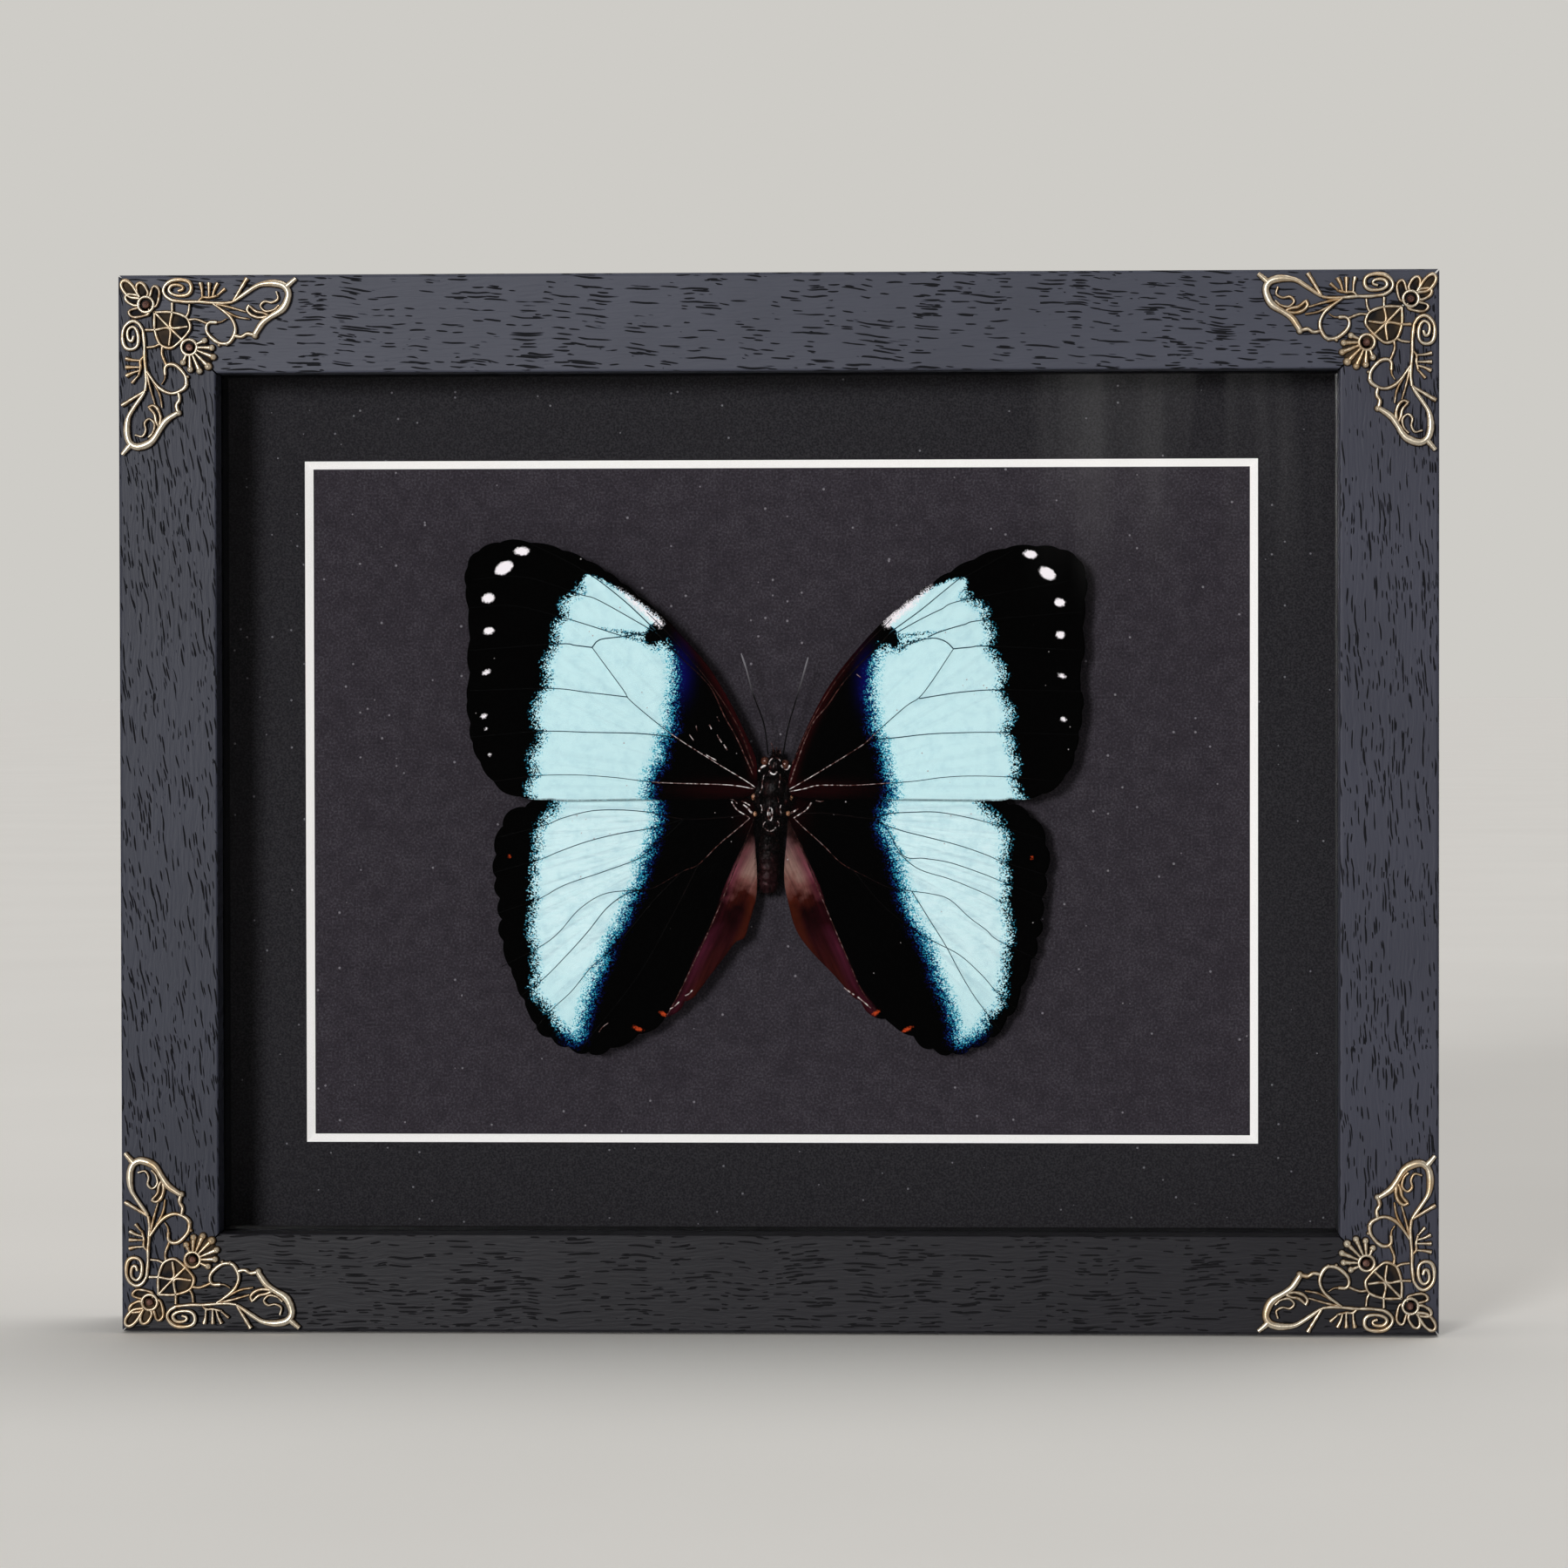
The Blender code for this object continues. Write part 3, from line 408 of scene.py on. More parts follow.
# the floor is matt and hardly patterned, and lies just under the frame
floorSize = {"half": 40, "drop": 0.0003}
corners = [(x * floorSize["half"], y * floorSize["half"], -floorSize["drop"])
           for x, y in ((-1, -1), (1, -1), (1, 1), (-1, 1))]
matt = patterned("pale studio floor, matt", ("TexNoise", 6, 3), (0.3, "#F3F0EB", 0.7, "#F6F3EE"),
                 Roughness=0.85, SpecularIORLevel=0.1)
floor = bpy.data.objects.new("floor", newMesh("floor", corners, [(0, 1, 2, 3)], material=matt))
scene.collection.objects.link(floor)
# the glass doesn't mirror the floor, as it hardly shows the table in the photo
floor.visible_glossy = False
floor.visible_transmission = False
print("camera, light and floor set")


# The rails: slate paint over open-grained ash. Pores that the paint doesn't fill show as short dark dashes.

# the way that the wood runs, the paint's tone with painted light and shade in it, the pores' slant in
# degrees, and how much light they keep
# painted shade: the tone differs by rail, lightest on the top rail and much darker on the bottom rail, as
# light from above would make them
rails = {"rail_top": ("X", "#40424D", 4.0, 0.12), "rail_bottom": ("X", "#201F23", 0.0, 0.4),
         "rail_left": ("Z", "#2E303B", -9.0, 0.12), "rail_right": ("Z", "#393A45", -3.0, 0.12)}
# layers of pores: length and width of the cells that hold one each, its reach in the cell, and its chance
pores = {"X": ((7.0, 0.48, 0.37, 0.22), (11.0, 0.54, 0.36, 0.25), (3.4, 0.42, 0.36, 0.15)),
         "Z": ((5.4, 0.44, 0.37, 0.25), (8.6, 0.5, 0.36, 0.25), (2.8, 0.38, 0.36, 0.16)),
         "depth": 0.2, "wander": 2.2, "brush": (6, 0.5)}
for name, (along, tone, slant, darkness) in rails.items():
    material, shader, add, place = newMaterial("slate paint over ash, brushed, " + name,
                                               SpecularIORLevel=0.15)
    wander = add("TexNoise", place, Scale=90, Detail=2).outputs["Color"]
    wander = add("VectorMath SCALE", add("VectorMath SUBTRACT", wander, (0.5,) * 3), pores["wander"] * mm)
    bent = add("VectorMath ADD", place, wander)
    crowd = add("TexNoise", place, Scale=75, Detail=1)
    pits = []
    for index, (length, width, reach, chance) in enumerate(pores[along]):
        size = (length, width, width) if along == "X" else (width, width, length)
        cell = add("Mapping", bent, ((3.1 * index + 1) * mm,) * 3, (0, math.radians(slant), 0),
                   [s * mm for s in size], vector_type="TEXTURE")
        spots = add("TexVoronoi", cell, Scale=1).outputs
        limit = add("MapRange", crowd, 0.35, 0.65, chance * 0.5, chance * 1.6)
        kept = add("Math LESS_THAN", add("SeparateColor", spots["Color"]), limit)
        pits.append(add("Math MULTIPLY", add("MapRange", spots["Distance"], reach, reach * 0.8), kept))
    pit = add("Math MAXIMUM", add("Math MAXIMUM", *pits[:2]), pits[2])
    shade = add("MapRange", add("TexNoise", place, Scale=38, Detail=4), 0.3, 0.7, 0.9, 1.1)
    # each rail's tone carries its painted light and shade, varied a little at random
    paint, dark = (add("VectorMath SCALE", hexColour(tone)[:3], share) for share in (shade, darkness))
    length, width = (s * mm for s in pores["brush"])
    brush = add("Mapping", bent, Scale=(length, width, width) if along == "X" else (width, width, length),
                vector_type="TEXTURE")
    height = add("Math MULTIPLY_ADD", add("TexNoise", brush, Scale=1, Detail=2), 0.22,
                 add("Math MULTIPLY", pit, -1))
    # the faces stay flat up to their crisp edges
    relief = add("Bump", Height=height, Distance=pores["depth"] * mm, Strength=1,
                 Normal=add("NewGeometry").outputs["True Normal"])
    feed(shader, BaseColor=add("Mix VECTOR", pit, paint, dark),
         Roughness=add("MapRange", pit, 0, 1, 0.42, 0.8), Normal=relief)
    setLook(nodes[name], material)


# The mat: black paper on a white core, which shows at the slanted cut, with pale lint on the paper

material, shader, add, place = newMaterial("mat board, black paper on a white core", Roughness=0.8,
                                           SpecularIORLevel=0)
tooth = add("TexNoise", place, Scale=2600, Detail=2)
paper = add("ValToRGB", tooth, stops=(0.36, "#212023", 0.5, "#29282B", 0.64, "#333235"))
paper = flecked(add, place, paper, "#6E6D72", 800)
core = add("ValToRGB", tooth, stops=(0.3, "#FCFAF8", 0.7, "#FFFEFD"))
facing = add("NewGeometry").outputs
flat = add("Math ABSOLUTE", add("SeparateXYZ", facing["True Normal"]).outputs["Y"])
isFace = add("Math GREATER_THAN", flat, 0.9)
# the cut fibres of the core scatter light forward, as a surface that faces the front would
lean = add("VectorMath MULTIPLY_ADD", facing["Normal"], (0.2,) * 3, (0, -0.8, 0))
relief = add("Bump", Height=add("Math MULTIPLY", tooth, isFace), Distance=0.03 * mm, Strength=0.8,
             Normal=add("VectorMath NORMALIZE", lean))
feed(shader, BaseColor=add("Mix RGBA", isFace, core, paper), Normal=relief)
setLook(nodes["window_mat"], material)

# The card behind the specimen: charcoal drawing paper with a fleck

material, shader, add, place = newMaterial("charcoal card, rough paper", Roughness=0.85, SpecularIORLevel=0)
tooth = add("TexNoise", place, Scale=2300, Detail=3, Roughness=0.6)
cloud = add("TexNoise", place, Scale=340, Detail=2)
blend = add("Math MULTIPLY_ADD", tooth, 0.8, add("Math MULTIPLY", cloud, 0.2))
paper = add("ValToRGB", blend, stops=(0.36, "#29262B", 0.5, "#332F35", 0.64, "#434046"))
feed(shader, BaseColor=flecked(add, place, paper, "#77747A", 700),
     Normal=add("Bump", Height=blend, Distance=0.12 * mm, Strength=0.9))
setLook(nodes["backing_card"], material)

# Strips that hold the glass off the mat: black foam board, with a fine open cell at the cut

foam = patterned("black foam board, cut", ("TexVoronoi", 1600), (0.1, "#0D0D0F", 0.7, "#161618"),
                 relief=(0.1, 0.6), Roughness=0.8, SpecularIORLevel=0.05)
for side in ("top", "bottom", "left", "right"):
    setLook(nodes["spacer_" + side], foam)

# The glass lets daylight through to the specimen as clear glass does, for shadow and diffuse rays alike

material, shader, add, place = newMaterial("picture glass, float, clear", BaseColor="#FEFEFE", Roughness=0,
                                           IOR=1.5, TransmissionWeight=1)
ripple = add("TexNoise", place, Scale=14, Detail=1)
feed(shader, Normal=add("Bump", Height=ripple, Distance=0.02 * mm, Strength=0.5))
rays = add("LightPath").outputs
through = add("Math MAXIMUM", rays["Is Shadow Ray"], rays["Is Diffuse Ray"])
feed(material.node_tree.nodes["Material Output"],
     Surface=add("MixShader", through, shader, add("BsdfTransparent", "#FEFEFE")))
setLook(nodes["glass_pane"], material)

# The back: brown hardboard, and plated steel points, hanger and nails with a dull haze

material, shader, add, place = newMaterial("hardboard, pressed wood fibre", Roughness=0.62,
                                           SpecularIORLevel=0.35)
fibre = add("TexNoise", place, Scale=900, Detail=5, Roughness=0.7, Distortion=1.5)
mixed = add("Mix FLOAT", 0.2, fibre, add("TexNoise", place, Scale=45, Detail=3))
feed(shader, BaseColor=add("ValToRGB", mixed, stops=(0.3, "#4A3222", 0.5, "#6B4A31", 0.7, "#8A6443")),
     Normal=add("Bump", Height=fibre, Distance=0.08 * mm, Strength=0.6))
setLook(nodes["back_panel"], material)

steel = patterned("zinc-plated steel, stamped", ("TexNoise", 420, 4), (0.35, "#8E9092", 0.65, "#B9BABB"),
                  gloss=(0.25, 0.5), Metallic=1)
for name in nodes:
    if name.startswith(("point_", "hanger_")):
        setLook(nodes[name], steel)
print("frame, mat, card, glass and back finished")


# Filigree corners: near black in the hollows, brown to pale gold where the bronze is rubbed

material, shader, add, place = newMaterial("cast bronze, antiqued and rubbed", Metallic=0.75)
rise = add("MapRange", add("SeparateXYZ", place).outputs["Y"], (faceY - 0.2) * mm, (faceY - 1.35) * mm)
wear = add("TexNoise", place, Scale=1100, Detail=3)
rubbed = add("Math ADD", add("Math MULTIPLY_ADD", wear, 0.46, -0.23), rise)
bronze = add("ValToRGB", rubbed, stops=(0.18, "#0B090B", 0.46, "#35261C", 0.66, "#8F775B", 0.86, "#E0D3BC"))
# warmer where the rubbing went deep
gilt = add("MapRange", add("TexNoise", place, Scale=150, Detail=2), 0.48, 0.66, 0, 0.6)
feed(shader, BaseColor=add("Mix RGBA", add("Math MULTIPLY", gilt, rise), bronze, "#C59E69"),
     Roughness=add("MapRange", rubbed, 0.2, 0.9, 0.62, 0.36),
     Normal=add("Bump", Height=wear, Distance=0.06 * mm, Strength=0.7))
bronzeMaterial = material
# reddish brown with paler high spots
bossMaterial = patterned("cast bronze, dark patina on the bosses", ("TexNoise", 900, 3),
                         (0.35, "#4A302C", 0.6, "#7D5A50", 0.75, "#B8958A"), Metallic=0.3, Roughness=0.34)

# Drawn from the outer corner, along and down, and again mirrored over the diagonal unless it lies in the
# middle. Each stroke: points, half widths at its start, middle and end, and its crest's height over the rail.
# The strokes counted in floored enclose a thin floor. Boss and tips: radius and crest.
filigree = {
    "strokes": (
        (path(3.7, 3.9, 3.5, 1.9, 4.1, 1.3, 5, 1.8, 5.7, 3.2, 5.4, 4.1), (0.28, 0.32, 0.28), 1.15),
        (path(6.1, 3.9, 6.6, 2.2, 7.2, 2, 7.9, 2.8, 7.8, 4.4, 7.3, 5.8, 6.4, 5.9), (0.26, 0.3, 0.26), 1.1),
        (path(10.4, 4.7, 9.2, 3.9, 8.7, 2.8, 9.2, 1.7, 10.4, 0.9, 12.1, 0.75, 13.5, 1.1, 14.1, 1.9, 14, 3,
         13.2, 3.7, 11.6, 3.8, 10.3, 3.4, 9.8, 2.7, 10.3, 1.9, 11.3, 1.7, 12.4, 2, 12.5, 2.6, 11.6, 2.9),
         (0.34, 0.36, 0.3), 1.25),
        (path(10.4, 4.7, 13.2, 5, 15.6, 5, 18, 5.2, 20.3, 5.3, 22.2, 5.1), (0.34, 0.33, 0.3), 1.2),
        (path(22.2, 5.1, 23.6, 2.8, 25, 0.5), (0.28, 0.36, 0.42), 1.15),
        (path(22.4, 5, 23.2, 4.5, 25.3, 3, 27.4, 1.8, 30, 1.5, 32.1, 2, 33, 3.3, 32.7, 5, 31.7, 6.6, 29.5, 8,
         27.9, 9.2, 26.5, 11.3), (0.26, 0.68, 0.5), 1.4),
        (path(32.4, 2.4, 33.4, 1.5, 34.5, 0.6), (0.6, 0.46, 0.38), 1.35),
        (path(25.4, 5.7, 25, 6.6, 25.8, 7.6, 27.4, 8.1, 29.1, 7.8, 28.1, 7.2, 26.7, 6.9, 25.5, 5.9),
         (0.34, 0.36, 0.3), 1.1),
        (path(30.7, 3.1, 31, 4.5, 29.8, 5.2, 28.4, 5, 27.6, 5.9, 28.6, 6.9, 30.2, 6.6, 31.2, 5.7),
         (0.22, 0.26, 0.22), 1.15),
        (path(19, 5.5, 21.7, 6.1, 24.8, 7), (0.28, 0.26, 0.2), 1.05),
        (path(20.2, 6.5, 22.9, 7.9, 25.5, 8.4), (0.24, 0.26, 0.2), 1),
        (path(26.5, 11.5, 25, 11.2, 23.9, 11.8, 22.6, 11.6), (0.44, 0.36, 0.34), 1.2),
        (path(18.4, 5.4, 20.8, 7.1, 22.1, 8.5, 22.7, 10.2, 22.3, 11.8, 21.3, 13, 19.6, 13, 18.2, 12.1,
         17.2, 10.9, 17.1, 9.7, 17.7, 9, 19.1, 9), (0.26, 0.38, 0.34), 1.2),
        (path(19.1, 9, 20, 8.9, 21, 8.3), (0.24, 0.18, 0.14), 1),
        (path(6.9, 7, 10.2, 7, 12.8, 7.8, 13.7, 8.9, 13.9, 10.2, 13.2, 11.3, 12.3, 12.3), (0.3, 0.3, 0.3),
         1.15),
        (path(10.4, 5.2, 10.4, 7, 10.2, 9.9, 13.4, 9.8), (0.28, 0.3, 0.28), 1.15),
        (path(13.8, 5.5, 13.6, 7, 13.1, 8), (0.24, 0.26, 0.26), 1.12),
        (path(13.5, 8.5, 15.1, 8.4, 17.2, 9.2), (0.28, 0.26, 0.3), 1.1),
        (path(15.4, 5.1, 16.3, 4.2, 17.7, 4.2, 19.4, 3.8), (0.28, 0.3, 0.26), 1.1),
        (path(16.3, 4.2, 16.2, 2.6, 15.9, 1.3), (0.2, 0.26, 0.44), 1.15),
        (path(17.6, 4.2, 17.6, 2.6, 17.6, 1.3), (0.2, 0.26, 0.44), 1.15),
        (path(18.3, 4, 18.7, 2.6, 19.3, 1.4), (0.2, 0.26, 0.42), 1.15),
        (path(19.1, 3.9, 19.9, 3.2, 20.7, 2.5), (0.2, 0.24, 0.36), 1.1),
    ),
    "middle": (
        (path(6.9, 6.9, 9.4, 9.5, 12.2, 12.2), (0.3, 0.28, 0.3), 1.15),
        (path(4, 4.3, 2.1, 4, 0.8, 2.6, 0.5, 1.5, 0.9, 0.9, 1.7, 1, 2.8, 2, 4.1, 4.1), (0.3, 0.34, 0.3), 1.2),
    ),
    "ribs": path(17.4, 17.5, 16.7, 12.5, 18.1, 13.9, 18.4, 15.7, 12.5, 16.7, 13.9, 18.1, 15.7, 18.4),
    "flowers": path(5.3, 5.5, 13.7, 13.8), "ring": 1.5,
    "knobs": (((26.5, 11.6), 0.72, 1.45), ((21, 13.2), 0.5, 1.25), ((19.5, 13.4), 0.42, 1.2)),
    "floored": (0, 1, 7),
    "middleFloors": (
        path(15, 12.8, 16.7, 12.5, 18.1, 13.9, 18.4, 15.7, 17.4, 17.5, 15.7, 18.4, 13.9, 18.1, 12.5, 16.7,
         12.8, 15),
        path(6.9, 6.9, 10.2, 7, 12.8, 7.8, 13.7, 8.9, 13.9, 10.2, 12.2, 12.2, 10.2, 13.9, 8.9, 13.7,
         7.8, 12.8, 7, 10.2),
    ),
    "ringForm": ((0.3, 0.3, 0.3), 1.3), "ribForm": ((0.22, 0.34, 0.5), 1.2), "ribStart": 1.6,
    "boss": (0.8, 1.65), "tip": (0.76, 1.5), "middleTip": (0.9, 1.5), "floorRise": 0.36,
    "floorDepth": 0.2, "floorStep": 0.4, "floorGrid": (0.8, 0.25), "underside": 0.12, "flat": 0.3,
    "sides": 10, "inset": 0.25, "step": 0.3, "boldness": 1.26,
}


def circle(centre, radius, count=22):
    return np.array([(centre[0] + radius * math.cos(t), centre[1] + radius * math.sin(t))
                     for t in np.linspace(0, 2 * math.pi, count)])


def strokeFrom(points, halves, crest):
    line = smoothPath(points, filigree["step"])
    share = np.linspace(0, 1, len(line))
    half = filigree["boldness"] * np.interp(share, (0, 0.5, 1), halves)
    half *= 1 + 0.1 * np.sin(share * 23 + 5 * points[0][0])
    return {"points": np.column_stack([line, np.zeros(len(line))]), "half": half,
            "crest": np.full(len(line), crest)}


def dome(centre, radius, crest, around=14, up=5):
    # a half ball standing on the underside
    under, rings = filigree["underside"], []
    for i in range(up + 1):
        t = i / up * math.pi / 2
        wide = radius * math.cos(t) * (1 if i < up else 0.02)
        rings.append((*centre, under + (crest - under) * math.sin(t), wide, wide))
    return ringed(rings, around)


def makeFiligree(name, signX, signZ):
    strokes = []
    for points, *form in filigree["strokes"]:
        strokes += [strokeFrom(points, *form), strokeFrom(points[:, ::-1], *form)]
    strokes += [strokeFrom(*stroke) for stroke in filigree["middle"]]
    for centre in filigree["flowers"]:
        strokes.append(strokeFrom(circle(centre, filigree["ring"]), *filigree["ringForm"]))
    hub = filigree["flowers"][1]
    for tip in filigree["ribs"]:
        start = hub + (tip - hub) / np.linalg.norm(tip - hub) * filigree["ribStart"]
        strokes.append(strokeFrom([start, (start + tip) / 2, tip], *filigree["ribForm"]))
    mesh = swept(strokes, filigree["sides"], 1.0, bronzeMaterial)
    # an oval section becomes a rounded crest with a flat underside
    co = pointsOf(mesh)
    half, crest = (read(mesh.attributes[key].data, "value") for key in ("half", "crest"))
    up = np.clip(co[:, 2] / np.maximum(half, 1e-6), -1, 1)
    under, flat = filigree["underside"], filigree["flat"]
    co[:, 2] = np.where(up > -flat, under + (crest - under) * (up + flat) / (1 + flat), under)
    movePoints(mesh, co)
    meshes = [mesh]
    lumps = [(centre, *filigree["boss"], bossMaterial) for centre in filigree["flowers"]]
    for centre, *size in filigree["knobs"]:
        lumps += [(centre, *size, bronzeMaterial), (centre[::-1], *size, bronzeMaterial)]
    for index, tip in enumerate(filigree["ribs"]):
        lumps.append((tip, *filigree["tip" if index else "middleTip"], bronzeMaterial))
    for *lump, material in lumps:
        meshes.append(newMesh("lump", *dome(*lump), material=material))
    outlines = [circle(centre, filigree["ring"])[:-1] for centre in filigree["flowers"]]
    for index in filigree["floored"]:
        outlines += [filigree["strokes"][index][0], filigree["strokes"][index][0][:, ::-1]]
    for outline in (*outlines, filigree["middle"][1][0], *filigree["middleFloors"]):
        loop = leftTurned(smoothPath(outline, filigree["floorStep"], True))
        points, faces = filled(loop, *filigree["floorGrid"])
        top = np.column_stack([points, np.full(len(points), filigree["floorRise"])])
        plate = newMesh("floor plate", top, faces, material=bronzeMaterial)
        meshes.append(baked(plate, {"thickness": filigree["floorDepth"], "offset": -1.0, "use_rim": True}))
    for mesh in meshes:
        along, down, height = pointsOf(mesh).T
        x = signX * (halfFrame[0] - filigree["inset"] - along)
        z = halfFrame[1] + signZ * (halfFrame[1] - filigree["inset"] - down)
        movePoints(mesh, np.column_stack([x, faceY - height, z]) * mm)
    showPiece(name.replace("filigree", "bronze_corner"), meshes, name)


for name, signX, signZ in (("filigree_top_left", -1, 1), ("filigree_top_right", 1, 1),
                           ("filigree_bottom_left", -1, -1), ("filigree_bottom_right", 1, -1)):
    makeFiligree(name, signX, signZ)
print("filigree corners made")
